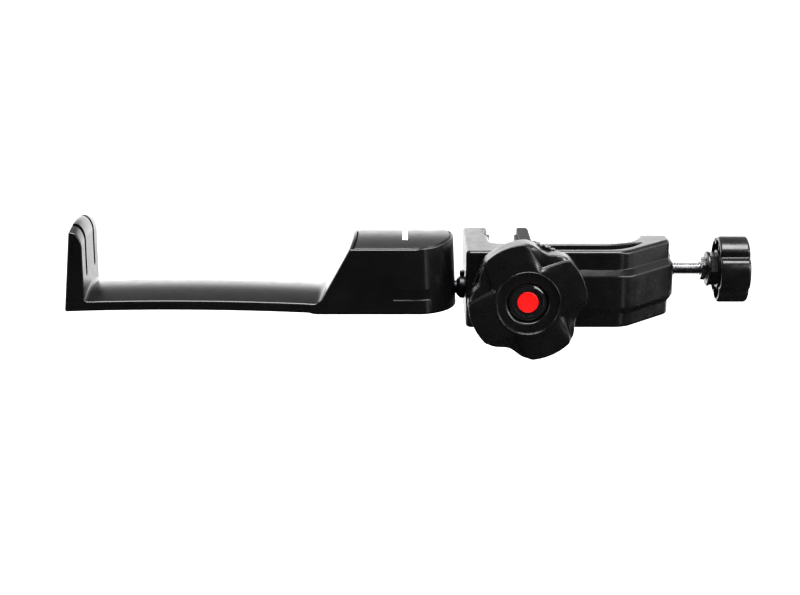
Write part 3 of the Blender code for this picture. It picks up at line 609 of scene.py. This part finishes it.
def chamfered(low, high, radius, chamfer):
    """Profile of a turned piece with both rims chamfered."""
    return [(low, radius - chamfer), (low + chamfer, radius), (high - chamfer, radius),
            (high, radius - chamfer)]


def make_rod():
    centre = (ROD.y, ROD.z)
    low, high = cad_box("arm_rod")
    rod = turned("arm_rod_fine", "X", centre, chamfered(low.x, high.x, 4.0, 0.7), 64)
    dress(rod, DARK_STEEL, 30.0, "arm", ["arm_rod"])
    low, high = cad_box("rod_stop_collar")
    profile = [(low.x - 1.8, 4.9), (low.x - 0.1, 6.4), (low.x + 0.2, 6.9), (low.x + 0.5, 7.0),
               (high.x - 0.4, 7.0), (high.x, 6.6), (high.x, 4.25), (low.x - 1.8, 4.25)]
    collar = turned("rod_stop_collar_fine", "X", centre, profile, 96, ring=True)
    middle = ((low.x + high.x) / 2.0, ROD.y)
    cut(collar, turned("hole", "Z", middle, [(ROD.z + 4.6, 1.1), (12.0, 1.1)], 24))
    dress(collar, DARK_STEEL, 30.0, "arm", ["rod_stop_collar"])
    low, high = cad_box("collar_set_screw")
    profile = [(low.z, 0.85), (high.z - 3.0, 0.85), (high.z - 3.0, 1.45), (high.z - 2.8, 1.6),
               (high.z - 0.3, 1.6), (high.z, 1.35)]
    screw = turned("collar_set_screw_fine", "Z", middle, profile, 32)
    cut(screw, prism("socket", "Z", hexagon(1.5, middle), high.z - 1.4, high.z + 1.0))
    dress(screw, DARK_STEEL, 30.0, "arm", ["collar_set_screw"])


make_rod()


# ---------------------------------------------------------------- clamp frame

FRAME_LEFT = cad_box("clamp_frame")[0].x
FRAME_BACK = 13.4
BAR_FRONT = -55.0
BAR_INNER = -31.0
BAR_TIP = -8.6
HALF_HEIGHT = 24.4
FLANGE_RIGHT = 106.0
BEND_X = 68.2                   # the bar's front face ends here and bends round
BEND_RADIUS = 16.0
SLANT = 46.0                    # degrees that the stretch after the bend turns back
END_BEND_Y = -19.7              # where the second bend meets the right-hand face
END_BEND_RADIUS = 8.0
MOUTH_END = 87.4
JAW_WALL = -8.0
BAND_PROUD = 3.0
TOP_EDGE = 2.3                  # rounding of the frame's long edges
POCKET_DEPTH = 9.0
LOCK = cad_centre("lock_screw")


def outer_corner(offset):
    """The bar's way from its front face round to the right-hand end, in two bends."""
    first = (BEND_X, BAR_FRONT + BEND_RADIUS)
    second = (FLANGE_RIGHT - END_BEND_RADIUS, END_BEND_Y)
    return (arc(first, BEND_RADIUS + offset, 270.0, 270.0 + SLANT, 18)
            + arc(second, END_BEND_RADIUS + offset, 270.0 + SLANT, 360.0, 12))


def frame_outline():
    inner_corner = bezier((68.0, BAR_INNER), (78.0, BAR_INNER), (85.0, -22.0),
                          (MOUTH_END, BAR_TIP - 3.0), 20)
    soft = TOP_EDGE + 0.3
    points = arc((FRAME_LEFT + soft, FRAME_BACK - soft), soft, 90.0, 180.0, 6)
    points += arc((FRAME_LEFT + 3.6, BAR_FRONT + 3.6), 3.6, 180.0, 270.0, 8)
    points += outer_corner(0.0)
    points += arc((FLANGE_RIGHT - soft, BAR_TIP - soft), soft, 0.0, 90.0, 6)
    points += arc((MOUTH_END + soft, BAR_TIP - soft), soft, 90.0, 176.0, 6)
    points += list(reversed(inner_corner))
    points += arc((JAW_WALL + 6.0, BAR_INNER + 6.0), 6.0, 270.0, 180.0, 10)
    points += [(JAW_WALL, -11.0), (JAW_WALL - 4.0, 0.0)]
    points += arc((JAW_WALL - soft, FRAME_BACK - soft), soft, 0.0, 90.0, 6)
    return points


def band_profile():
    """(how far proud, height) up the face of the middle band, with soft corners."""
    lower = [(-0.25, -15.9), (0.2, -15.1), (2.3, -12.2), (2.75, -11.5), (3.0, -10.6)]
    upper = [(3.0, 8.2), (2.8, 8.9), (2.4, 9.6), (0.3, 12.6), (-0.25, 13.4)]
    return lower + upper


def band_loop(proud, height):
    start = -12.0 + BAND_PROUD - proud
    outside = [(start, BAR_FRONT - proud)] + outer_corner(proud) + [(FLANGE_RIGHT + proud, 0.0)]
    inside = [(98.0, 0.0), (96.0, -16.0), (80.0, -36.0), (62.0, -43.0), (start, -43.0)]
    return [place("Z", u, v, height) for u, v in outside + inside]


def pocket_outline(shrink):
    """Slot that tapers to a narrow end on the right, with its walls moved in by shrink."""
    near = bezier((62.0, -50.2), (74.0, -50.2), (81.0, -42.0), (87.3, -31.2), 16)
    far = bezier((60.0, -38.0), (70.0, -38.0), (79.0, -32.0), (87.0, -30.4), 16)
    walls = ([], [])
    for (x0, y0), (x1, y1) in zip(near, far):
        width = math.hypot(x1 - x0, y1 - y0)
        share = max(0.2, width - 2.0 * shrink) / width
        for wall, side in zip(walls, (-0.5, 0.5)):
            wall.append(((x0 + x1) / 2.0 + side * share * (x1 - x0),
                         (y0 + y1) / 2.0 + side * share * (y1 - y0)))
    return arc((31.4, -44.1), 6.1 - shrink, 90.0, 270.0, 14) + walls[0] + list(reversed(walls[1]))


def pocket_cutter(side):
    """Pocket with a softened mouth, drafted walls and a rounded floor edge."""
    floor = HALF_HEIGHT - POCKET_DEPTH
    levels = [(HALF_HEIGHT + 2.0, -0.7), (HALF_HEIGHT, -0.7), (HALF_HEIGHT - 0.25, -0.35),
              (HALF_HEIGHT - 0.7, 0.0), (floor + 1.0, 0.35), (floor + 0.3, 0.6), (floor, 1.2)]
    loops = [[place("Z", u, v, side * height) for u, v in pocket_outline(shrink)]
             for height, shrink in levels]
    return loft("pocket", loops)


def make_clamp_frame():
    body = prism("clamp_frame_fine", "Z", frame_outline(), -HALF_HEIGHT, HALF_HEIGHT, TOP_EDGE)
    band = loft("band", [band_loop(proud, height) for proud, height in band_profile()])
    screw_boss = turned("screw_boss", "X", (0.0, 0.0),
                        [(MOUTH_END, 11.6), (MOUTH_END + 0.4, 12.5), (MOUTH_END + 1.4, 13.0), (107.6, 13.0),
                         (108.7, 12.6), (109.1, 11.8), (109.2, 10.5)], 72)
    centre = (LOCK.x, LOCK.z)
    lock_boss = turned("lock_boss", "Y", centre, [(-58.3, 21.9), (-57.7, 22.5), (-50.0, 22.5)], 72)
    join(body, band, screw_boss, lock_boss)
    cut(body, pocket_cutter(1.0), pocket_cutter(-1.0))
    bush_bore = turned("bush_bore", "X", (0.0, 0.0), [(80.0, 6.3), (115.0, 6.3)], 48)
    socket = turned("socket", "X", (ROD.y, ROD.z),
                    [(-30.0, 7.2), (-24.0, 7.2), (-23.0, 6.2), (46.0, 6.2)], 48)
    lock_bore = turned("lock_bore", "Y", centre,
                       [(-62.0, 7.3), (-52.0, 7.3), (-52.0, 4.4), (ROD.y, 4.4)], 48)
    cut(body, bush_bore, socket, lock_bore)
    dress(body, CLAMP, 38.0, "frame", ["clamp_frame"])


make_clamp_frame()


# ---------------------------------------------------------------- jaws

def make_moving_jaw():
    low, high = cad_box("moving_jaw")
    back = low.x + 7.3
    plan = [(low.x, low.y), (low.x + 10.1, low.y), (low.x + 12.3, low.y + 2.2), (low.x + 12.6, low.y + 3.2),
            (low.x + 12.3, low.y + 4.4), (back + 0.6, -22.4), (back, -21.0), (back, high.y - 2.5)]
    plan += arc((back - 2.5, high.y - 2.5), 2.5, 10.0, 90.0, 5)
    plan += [(low.x + 0.8, high.y), (low.x, high.y - 0.8)]
    jaw = prism("moving_jaw_fine", "Z", plan, low.z, high.z, 1.0)
    boss = turned("jaw_boss", "X", (0.0, 0.0),
                  [(low.x + 2.0, 9.0), (high.x - 1.2, 9.0), (high.x - 0.4, 8.6), (high.x, 7.8)], 64)
    ribs = []
    for side in (-1.0, 1.0):
        outline = [(back - 1.0, side * 7.0), (high.x - 1.0, side * 7.0), (back + 0.4, side * 21.5),
                   (back - 1.0, side * 21.5)]
        ribs.append(prism("rib", "Y", outline, -1.6, 1.6))
    join(jaw, boss, *ribs)
    screw_hole = turned("screw_hole", "X", (0.0, 0.0), [(13.2, 4.4), (30.0, 4.4)], 48)
    clip = cad_centre("screw_retaining_clip")
    clip_slot = box("clip_slot", (clip.x - 0.8, -6.4, -5.4), (clip.x + 0.8, 6.4, 12.0))
    cut(jaw, screw_hole, clip_slot)
    dress(jaw, JAW, 38.0, "jaw", ["moving_jaw"])


PAD_RIBS = 9
PAD_GROOVE = 0.25               # depth of the grooves between the pads' ribs


def make_moving_jaw_pad():
    """Rubber pad with shallow level grooves across its gripping face."""
    low, high = cad_box("moving_jaw_pad")
    outline = [(high.x, high.z), (high.x, low.z)]
    pitch = (high.z - low.z) / PAD_RIBS
    for i in range(PAD_RIBS):
        z = low.z + pitch * i
        outline += [(low.x + PAD_GROOVE, z + 0.05), (low.x, z + 0.5), (low.x, z + pitch - 0.75),
                    (low.x + PAD_GROOVE, z + pitch - 0.35)]
    pad = prism("moving_jaw_pad_fine", "Y", outline, low.y, high.y)
    dress(pad, RUBBER, 30.0, "jaw", ["moving_jaw_pad"])


def make_fixed_jaw_pad():
    """Rubber pad in the V, grooved the same way."""
    low, high = cad_box("fixed_jaw_pad")
    slant = math.hypot(4.0, 11.0) / 11.0

    def v_line(shift, turn):
        return [(JAW_WALL + shift, -turn * 11.0), (JAW_WALL - 4.0 + shift, 0.0),
                (JAW_WALL + shift, turn * 11.0)]

    pitch = (high.z - low.z) / PAD_RIBS
    loops = []
    for i in range(PAD_RIBS):
        for share, depth in ((0.02, PAD_GROOVE), (0.14, 0.0), (0.84, 0.0), (0.96, PAD_GROOVE)):
            outline = v_line(0.3 * slant, 1.0) + v_line((1.5 - depth) * slant, -1.0)
            loops.append([place("Z", u, v, low.z + pitch * (i + share)) for u, v in outline])
    pad = loft("fixed_jaw_pad_fine", loops)
    dress(pad, RUBBER, 30.0, "frame", ["fixed_jaw_pad"])


make_moving_jaw()
make_moving_jaw_pad()
make_fixed_jaw_pad()


# ---------------------------------------------------------------- clamp screw and small knob

THREAD_PITCH = 1.7
SCREW_RADIUS = 4.15
THREAD_DEPTH = 1.05
THREAD_END = 140.0              # the thread fades out here, inside the small knob
BORE_RADIUS = 4.3               # bore of the nut, the hub and the small knob


def make_clamp_screw():
    """Threaded rod: a grid of rings whose radius follows the helix, with a plain end and a groove."""
    low, high = cad_box("clamp_screw")
    clip = cad_centre("screw_retaining_clip")
    around = 32
    loops = [(low.x, 3.1), (low.x + 0.8, SCREW_RADIUS), (clip.x - 0.8, SCREW_RADIUS),
             (clip.x - 0.78, 3.0), (clip.x + 0.78, 3.0), (clip.x + 0.8, SCREW_RADIUS - THREAD_DEPTH)]
    rings = [[place("X", u, v, x) for u, v in circle(r, around)] for x, r in loops]
    start = clip.x + 1.2
    steps_per_turn = 12
    count = int((THREAD_END - start) / THREAD_PITCH * steps_per_turn)
    for k in range(count + 1):
        x = start + k * THREAD_PITCH / steps_per_turn
        fade = min(1.0, x - start, THREAD_END - x)
        ring = []
        for i in range(around):
            angle = math.tau * i / around
            phase = (x / THREAD_PITCH - i / around) % 1.0
            height = (1.0 - abs(phase - 0.5) * 2.0) * 1.9 - 0.45
            r = SCREW_RADIUS - THREAD_DEPTH * (1.0 - max(0.0, min(1.0, height)) * fade)
            ring.append(place("X", r * math.cos(angle), r * math.sin(angle), x))
        rings.append(ring)
    rings.append([place("X", u, v, high.x) for u, v in circle(SCREW_RADIUS - THREAD_DEPTH, around)])
    screw = loft("clamp_screw_fine", rings)
    dress(screw, SCREW_STEEL, 50.0, "screw", ["clamp_screw"])


def make_jam_nut():
    """Thin hexagon nut with its corners turned off at both faces."""
    low, high = cad_box("screw_jam_nut")
    nut = prism("screw_jam_nut_fine", "X", hexagon(13.0, phase=30.0), low.x, high.x)
    cone = turned("cone", "X", (0.0, 0.0), [(low.x - 0.1, 6.3), (low.x + 0.7, 7.8), (high.x - 0.7, 7.8),
                                            (high.x + 0.1, 6.3)], 64)
    apply_boolean(nut, cone, "INTERSECT")
    cut(nut, turned("nut_bore", "X", (0.0, 0.0),
                    [(low.x - 1.0, BORE_RADIUS), (high.x + 1.0, BORE_RADIUS)], 32))
    dress(nut, ZINC, 20.0, "screw", ["screw_jam_nut"])


def make_hub():
    """Flange and hexagonal neck between the nut and the lobed head."""
    low, high = cad_box("clamp_knob_hub")
    flange = turned("clamp_knob_hub_fine", "X", (0.0, 0.0),
                    [(low.x, 10.4), (low.x + 0.2, 10.95), (low.x + 0.7, 11.3), (low.x + 1.5, 11.3),
                     (low.x + 2.0, 11.0), (low.x + 2.3, 10.4)], 72)
    neck = prism("neck", "X", hexagon(19.4), low.x + 1.0, high.x)
    cone = turned("neck_round", "X", (0.0, 0.0), [(low.x + 0.5, 10.9), (high.x + 0.1, 10.9)], 72)
    apply_boolean(neck, cone, "INTERSECT")
    join(flange, neck)
    cut(flange, turned("hub_bore", "X", (0.0, 0.0), [(120.0, BORE_RADIUS), (150.0, BORE_RADIUS)], 32))
    dress(flange, KNOB, 26.0, "screw", ["clamp_knob_hub"])


KNOB_LOBES = 5
KNOB_GROOVE = 3.4               # depth of the crease between two lobes
KNOB_HOLLOW_DEPTH = 9.0


def lobed_loop(radius, depth, along):
    """Round outline with a crease between its lobes; a lobe faces the user."""
    steps = KNOB_LOBES * 64
    points = []
    for i in range(steps):
        angle = math.tau * i / steps
        wave = 0.5 - 0.5 * math.cos(KNOB_LOBES * (angle - math.pi))
        r = radius - depth * (0.3 * wave**2 + 0.7 * wave**12)
        points.append(place("X", r * math.cos(angle), r * math.sin(angle), along))
    return points


def make_clamp_knob():
    low, high = cad_box("clamp_knob")
    radius = 21.7
    left, right = low.x, high.x
    rings = [(left, 19.9, 0.8), (left + 0.25, 20.7, 0.88), (left + 0.8, 21.3, 0.95),
             (left + 1.6, radius, 1.0), (left + 9.0, radius, 1.0),
             (right - 3.2, radius, 1.0), (right - 2.5, 21.55, 1.0),
             (right - 1.9, 21.1, 0.97), (right - 1.5, 20.5, 0.92), (right - 1.2, 19.6, 0.85),
             (right - 0.9, 18.0, 0.65), (right - 0.5, 15.0, 0.35), (right - 0.2, 12.5, 0.1),
             (right, 11.0, 0.0), (right, 9.9, 0.0)]
    knob = loft("clamp_knob_fine", [lobed_loop(r, share * KNOB_GROOVE, x) for x, r, share in rings])
    bore = turned("knob_bore", "X", (0.0, 0.0), [(130.0, BORE_RADIUS), (152.5, BORE_RADIUS)], 32)
    cap_left, cap_right = cad_box("clamp_knob_cap")
    cap_seat = turned("cap_seat", "X", (0.0, 0.0), [(cap_left.x - 0.3, 9.3), (170.0, 9.3)], 64)
    hollow = loft("hollow", [lobed_loop(r, KNOB_GROOVE, x)
                             for x, r in ((130.0, 19.6), (left + KNOB_HOLLOW_DEPTH, 19.0))])
    cut(hollow, turned("core", "X", (0.0, 0.0), [(120.0, 12.0), (170.0, 12.0)], 64))
    cut(knob, bore, cap_seat, hollow)
    ribs = []
    for i in range(KNOB_LOBES):
        angle = math.tau * (i + 0.5) / KNOB_LOBES + math.pi
        along = (math.cos(angle), math.sin(angle))
        corners = [(11.8, -0.8), (16.6, -0.8), (16.6, 0.8), (11.8, 0.8)]
        outline = [(r * along[0] - s * along[1], r * along[1] + s * along[0]) for r, s in corners]
        ribs.append(prism("rib", "X", outline, left + 2.0, left + KNOB_HOLLOW_DEPTH + 0.5))
    join(knob, *ribs)
    dress(knob, KNOB, 38.0, "screw", ["clamp_knob"])
    low, high = cap_left, cap_right
    profile = [(low.x, 9.0), (high.x - 1.1, 9.0), (high.x - 0.7, 8.75), (high.x - 0.4, 8.2),
               (high.x - 0.15, 6.5), (high.x, 3.5), (high.x, 1.0)]
    cap = turned("clamp_knob_cap_fine", "X", (0.0, 0.0), profile, 72)
    dress(cap, KNOB, 38.0, "screw", ["clamp_knob_cap"])


make_clamp_screw()
make_jam_nut()
make_hub()
make_clamp_knob()


# ---------------------------------------------------------------- lock knob

HEAD_LOW, HEAD_HIGH = cad_box("lock_knob")
HEAD_RADIUS = (HEAD_HIGH.x - HEAD_LOW.x) / 2.0
HEAD_LOBES = 4
FIRST_LOBE = math.radians(25.0)
LOBE_HALF = math.radians(22.5)
VALLEY_BACK = 31.0
VALLEY_FRONT = 22.0
HEAD_BACK = -64.5
SCOOP_EDGE = -77.5
HEAD_RIM_FRONT = -80.5
HEAD_RING_FRONT = HEAD_LOW.y
DISH_RADIUS = 19.3
HEAD_STEPS = 320


def smoothed(values, reach):
    """Running mean round a closed ring of values."""
    count = len(values)
    return [sum(values[(i + k) % count] for k in range(-reach, reach + 1)) / (2 * reach + 1)
            for i in range(count)]


def head_radii(front):
    """Edge of the head all round; on the front face each finger scoop runs in to a point."""
    sector = math.tau / HEAD_LOBES
    corner = (HEAD_RADIUS * math.cos(LOBE_HALF), HEAD_RADIUS * math.sin(LOBE_HALF))
    point = (VALLEY_FRONT * math.cos(sector / 2.0), VALLEY_FRONT * math.sin(sector / 2.0))
    across = (point[0] - corner[0], point[1] - corner[1])
    radii = []
    for i in range(HEAD_STEPS):
        angle = math.tau * i / HEAD_STEPS
        from_lobe = abs((angle + sector / 2.0) % sector - sector / 2.0)
        if from_lobe <= LOBE_HALF:
            radii.append(HEAD_RADIUS)
        elif front:
            ray = (math.cos(from_lobe), math.sin(from_lobe))
            radii.append((corner[0] * across[1] - corner[1] * across[0])
                         / (ray[0] * across[1] - ray[1] * across[0]))
        else:
            share = (from_lobe - LOBE_HALF) / (sector / 2.0 - LOBE_HALF)
            radii.append(HEAD_RADIUS - (HEAD_RADIUS - VALLEY_BACK) * math.sin(share * math.pi / 2.0) ** 2)
    return smoothed(radii, 3 if front else 5)


def head_loop(y, radii):
    loop = []
    for i, r in enumerate(radii):
        angle = math.tau * i / HEAD_STEPS + FIRST_LOBE
        loop.append(place("Y", LOCK.x + r * math.cos(angle), LOCK.z + r * math.sin(angle), y))
    return loop


def make_lock_knob():
    back = head_radii(False)
    front = [min(b, f) for b, f in zip(back, head_radii(True))]
    loops = [head_loop(HEAD_BACK, [r - 1.2 for r in back]),
             head_loop(HEAD_BACK - 0.35, [r - 0.4 for r in back]),
             head_loop(HEAD_BACK - 1.0, back),
             head_loop((HEAD_BACK + SCOOP_EDGE) / 2.0, back),
             head_loop(SCOOP_EDGE + 0.9, back),
             head_loop(SCOOP_EDGE + 0.3, [b - min(0.1, (b - f) * 0.1) for b, f in zip(back, front)]),
             head_loop(SCOOP_EDGE - 0.2, [b - min(0.5, (b - f) * 0.2) for b, f in zip(back, front)])]
    edge = 0.6
    step = 1.0
    lip = 0.9
    scoop_front = HEAD_RIM_FRONT + edge + step
    for k in range(1, 9):
        t = k / 8.0
        y = SCOOP_EDGE - 0.2 + (scoop_front - SCOOP_EDGE + 0.2) * math.sin(t * math.pi / 2.0)
        radii = []
        for b, f in zip(back, front):
            outer, inner = b - min(0.5, (b - f) * 0.2), min(b, f + lip)
            radii.append(outer + (min(inner, outer) - outer) * t)
        loops.append(head_loop(y, radii))
    for share, drop in ((0.55, 0.25), (0.3, 0.6)):
        radii = [min(b, f + lip * share) for b, f in zip(back, front)]
        loops.append(head_loop(scoop_front - step * drop, radii))
    for shrink, rise in reversed(edge_round(edge, 4)[:-1]):
        loops.append(head_loop(HEAD_RIM_FRONT + rise, [f - shrink for f in front]))
    inner = DISH_RADIUS + 0.55
    for t in (0.25, 0.5, 0.75, 1.0):
        y = HEAD_RIM_FRONT + (HEAD_RING_FRONT - HEAD_RIM_FRONT) * math.sin(t * math.pi / 2.0)
        loops.append(head_loop(y, [f - edge + (inner - f + edge) * t for f in front]))
    dish = [(HEAD_RING_FRONT - 0.12 - 0.38 * math.sin(math.radians(a)),
             DISH_RADIUS + 0.08 + 0.4 * math.cos(math.radians(a))) for a in range(15, 166, 25)]
    dish += [(HEAD_RING_FRONT + 0.3, DISH_RADIUS - 0.42), (HEAD_RING_FRONT + 0.7, DISH_RADIUS - 0.7),
             (HEAD_RING_FRONT + 0.85, DISH_RADIUS - 1.1),
             (HEAD_RING_FRONT + 0.95, DISH_RADIUS - 1.8), (-80.85, 13.9), (-80.8, 13.7), (-80.3, 12.8),
             (-79.9, 12.55), (-78.1, 12.3), (-76.0, 12.3)]
    loops += [head_loop(y, [r] * HEAD_STEPS) for y, r in dish]
    head = loft("lock_knob_fine", loops)
    dress(head, KNOB, 32.0, "lock", ["lock_knob"])


def make_skirt():
    """Ring behind the head with a fine ribbed rim."""
    low, high = cad_box("lock_knob_skirt")
    radius = (high.x - low.x) / 2.0
    ribs = 60
    steps = ribs * 8

    def ribbed(y, base, depth):
        loop = []
        for i in range(steps):
            angle = math.tau * i / steps
            r = base - depth * (0.5 - 0.5 * math.cos(ribs * angle)) ** 2
            loop.append(place("Y", LOCK.x + r * math.cos(angle), LOCK.z + r * math.sin(angle), y))
        return loop

    back, front = high.y, low.y
    profile = [(back, 12.2, 0.0), (back, radius - 2.6, 0.0), (back - 0.4, radius - 1.5, 0.0),
               (back - 0.9, radius - 0.6, 0.3), (back - 1.6, radius, 0.8), (front + 1.0, radius, 0.8),
               (front + 0.4, radius - 0.3, 0.5),
               (front, radius - 1.1, 0.0), (front, 12.2, 0.0)]
    skirt = loft("lock_knob_skirt_fine", [ribbed(*level) for level in profile], ring=True)
    dress(skirt, KNOB, 38.0, "lock", ["lock_knob_skirt"])


def make_cap_and_badge():
    centre = (LOCK.x, LOCK.z)
    profile = [(-76.3, 12.0), (-77.7, 12.0), (-78.1, 11.8), (-78.5, 11.3), (-78.85, 10.75),
               (-79.15, 10.2), (-79.42, 9.65), (-79.56, 9.2), (-79.58, 8.8), (-78.5, 8.7),
               (-78.4, 8.6), (-78.4, 6.55), (-77.9, 6.55)]
    cap = turned("lock_knob_cap_fine", "Y", centre, profile, 128)
    dress(cap, GLOSS, 60.0, "lock", ["lock_knob_cap"])
    profile = [(-78.1, 6.35), (-78.8, 6.35), (-78.95, 6.25), (-79.05, 6.0), (-79.15, 4.0), (-79.2, 1.0)]
    badge = turned("lock_knob_badge_fine", "Y", centre, profile, 96)
    dress(badge, RED, 40.0, "lock", ["lock_knob_badge"])


make_lock_knob()
make_skirt()
make_cap_and_badge()


# ---------------------------------------------------------------- CAD nodes that stay

def dress_cad_nodes():
    finishes = {ZINC: ["screw_retaining_clip", "lock_screw", "rod_nut_inner", "rod_nut_outer",
                       "rod_washer_inner", "rod_washer_outer", "base_cover_screw_1",
                       "base_cover_screw_2", "base_cover_screw_3", "base_cover_screw_4"],
                BRASS: ["screw_bush", "lock_screw_bush", "pressure_shoe"],
                NYLON: ["rod_collet"],
                ARM: ["base_cover"]}
    for material, names in finishes.items():
        for name in names:
            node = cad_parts[name]
            node.data.materials.clear()
            node.data.materials.append(material)


dress_cad_nodes()


# ---------------------------------------------------------------- floor, light and world

FLOOR_DEPTH = -0.62
FLAG_FAR = 2.4


def make_floor():
    size = 3.0
    corners = [(-size, -size), (size, -size), (size, size), (-size, size)]
    floor = mesh_object("floor", [(x / MM, y / MM, FLOOR_DEPTH / MM) for x, y in corners], [(0, 1, 2, 3)])
    nodes = Nodes("floor_paint")
    nodes.colours(nodes.noise(0.002, 3.0), (0.88, 0.88, 0.88), (0.91, 0.91, 0.91))
    nodes.set(Roughness=0.9, Specular_IOR_Level=0.2, Emission_Strength=1.0,
              Emission_Color=(1.0, 1.0, 1.0, 1.0))
    floor.data.materials.append(nodes.material)


def hide_from_all_but_gloss(obj):
    obj.visible_camera = False
    obj.visible_diffuse = False
    obj.visible_shadow = False
    obj.visible_transmission = False


def make_flag(name, verts, faces):
    """Black studio cloth that only the object's reflections see."""
    flag = mesh_object(name, [[c / MM for c in v] for v in verts], faces)
    material = bpy.data.materials.new("flag_cloth")
    material.use_nodes = True
    shader = material.node_tree.nodes["Principled BSDF"]
    shader.inputs["Base Color"].default_value = (0.0, 0.0, 0.0, 1.0)
    shader.inputs["Roughness"].default_value = 1.0
    shader.inputs["Specular IOR Level"].default_value = 0.0
    flag.data.materials.append(material)
    hide_from_all_but_gloss(flag)


def make_flags():
    """Black aprons below the object and in front of it; behind, beside and above it stays open."""
    left, right = math.radians(-148.0), math.radians(-28.0)
    steps = 16
    angles = [left + (right - left) * i / steps for i in range(steps + 1)]
    rows = [(0.4, -0.46), (1.2, -0.5), (FLAG_FAR, -0.3), (FLAG_FAR, 1.5), (1.7, 2.2)]
    verts = [(r * math.cos(a), r * math.sin(a) + 0.1, z) for r, z in rows for a in angles]
    count = len(angles)
    faces = [(row * count + i, row * count + i + 1, (row + 1) * count + i + 1, (row + 1) * count + i)
             for row in range(len(rows) - 1) for i in range(steps)]
    make_flag("front_flag", verts, faces)
    disc = []
    for i in range(72):
        angle = math.tau * i / 72
        behind = min(1.0, max(0.0, (math.sin(angle) - 0.2) / 0.3))
        reach = FLAG_FAR - 1.5 * behind
        disc.append((reach * math.cos(angle), reach * math.sin(angle), -0.45))
    make_flag("lower_flag", disc, [tuple(range(72))])


def area_light(name, location, aim, size, power, roll=0.0):
    data = bpy.data.lights.new(name, "AREA")
    data.shape = "RECTANGLE"
    data.size, data.size_y = size
    data.energy = power
    light = bpy.data.objects.new(name, data)
    light.location = location
    facing = (Vector(aim) - Vector(location)).to_track_quat("-Z", "Y")
    light.rotation_euler = (facing @ Quaternion((0.0, 0.0, 1.0), math.radians(roll))).to_euler()
    light.visible_camera = False
    bpy.context.scene.collection.objects.link(light)


def make_world():
    """White surroundings: brightest behind the object near the horizon, dim overhead."""
    world = bpy.data.worlds.new("studio")
    world.use_nodes = True
    tree = world.node_tree
    background = tree.nodes["Background"]
    background.inputs["Color"].default_value = (1.0, 1.0, 1.0, 1.0)
    split = tree.nodes.new("ShaderNodeSeparateXYZ")
    tree.links.new(tree.nodes.new("ShaderNodeTexCoord").outputs["Generated"], split.inputs["Vector"])

    def span(axis, start, end, low, high):
        node = tree.nodes.new("ShaderNodeMapRange")
        node.interpolation_type = "SMOOTHSTEP"
        for name, value in zip(("From Min", "From Max", "To Min", "To Max"), (start, end, low, high)):
            node.inputs[name].default_value = value
        tree.links.new(split.outputs[axis], node.inputs["Value"])
        return node.outputs["Result"]

    product = tree.nodes.new("ShaderNodeMath")
    product.operation = "MULTIPLY"
    tree.links.new(span("Z", 0.2, 0.5, 1.3, 0.25), product.inputs[0])
    tree.links.new(span("Y", 0.1, 0.8, 1.0, 1.9), product.inputs[1])
    tree.links.new(product.outputs["Value"], background.inputs["Strength"])
    bpy.context.scene.world = world


make_floor()
make_flags()
make_world()
area_light("top_softbox", (0.0, -0.33, 1.5), (0.0, -0.1, 0.0), (1.5, 0.9), 80.0)
area_light("right_softbox", (1.45, -0.2, 0.42), (0.0, -0.05, 0.0), (0.5, 0.3), 3.0)
area_light("end_strip", (0.62, -0.79, -0.22), (-0.04, -0.04, 0.0), (0.05, 0.3), 0.16)
area_light("left_softbox", (-1.5, -0.1, 0.45), (-0.05, -0.05, 0.0), (0.5, 0.3), 3.8)
area_light("right_strip", (1.16, -0.93, 0.56), (0.02, -0.05, 0.0), (1.5, 0.3), 20.0, -38.0)
bpy.context.scene.view_settings.view_transform = "Standard"
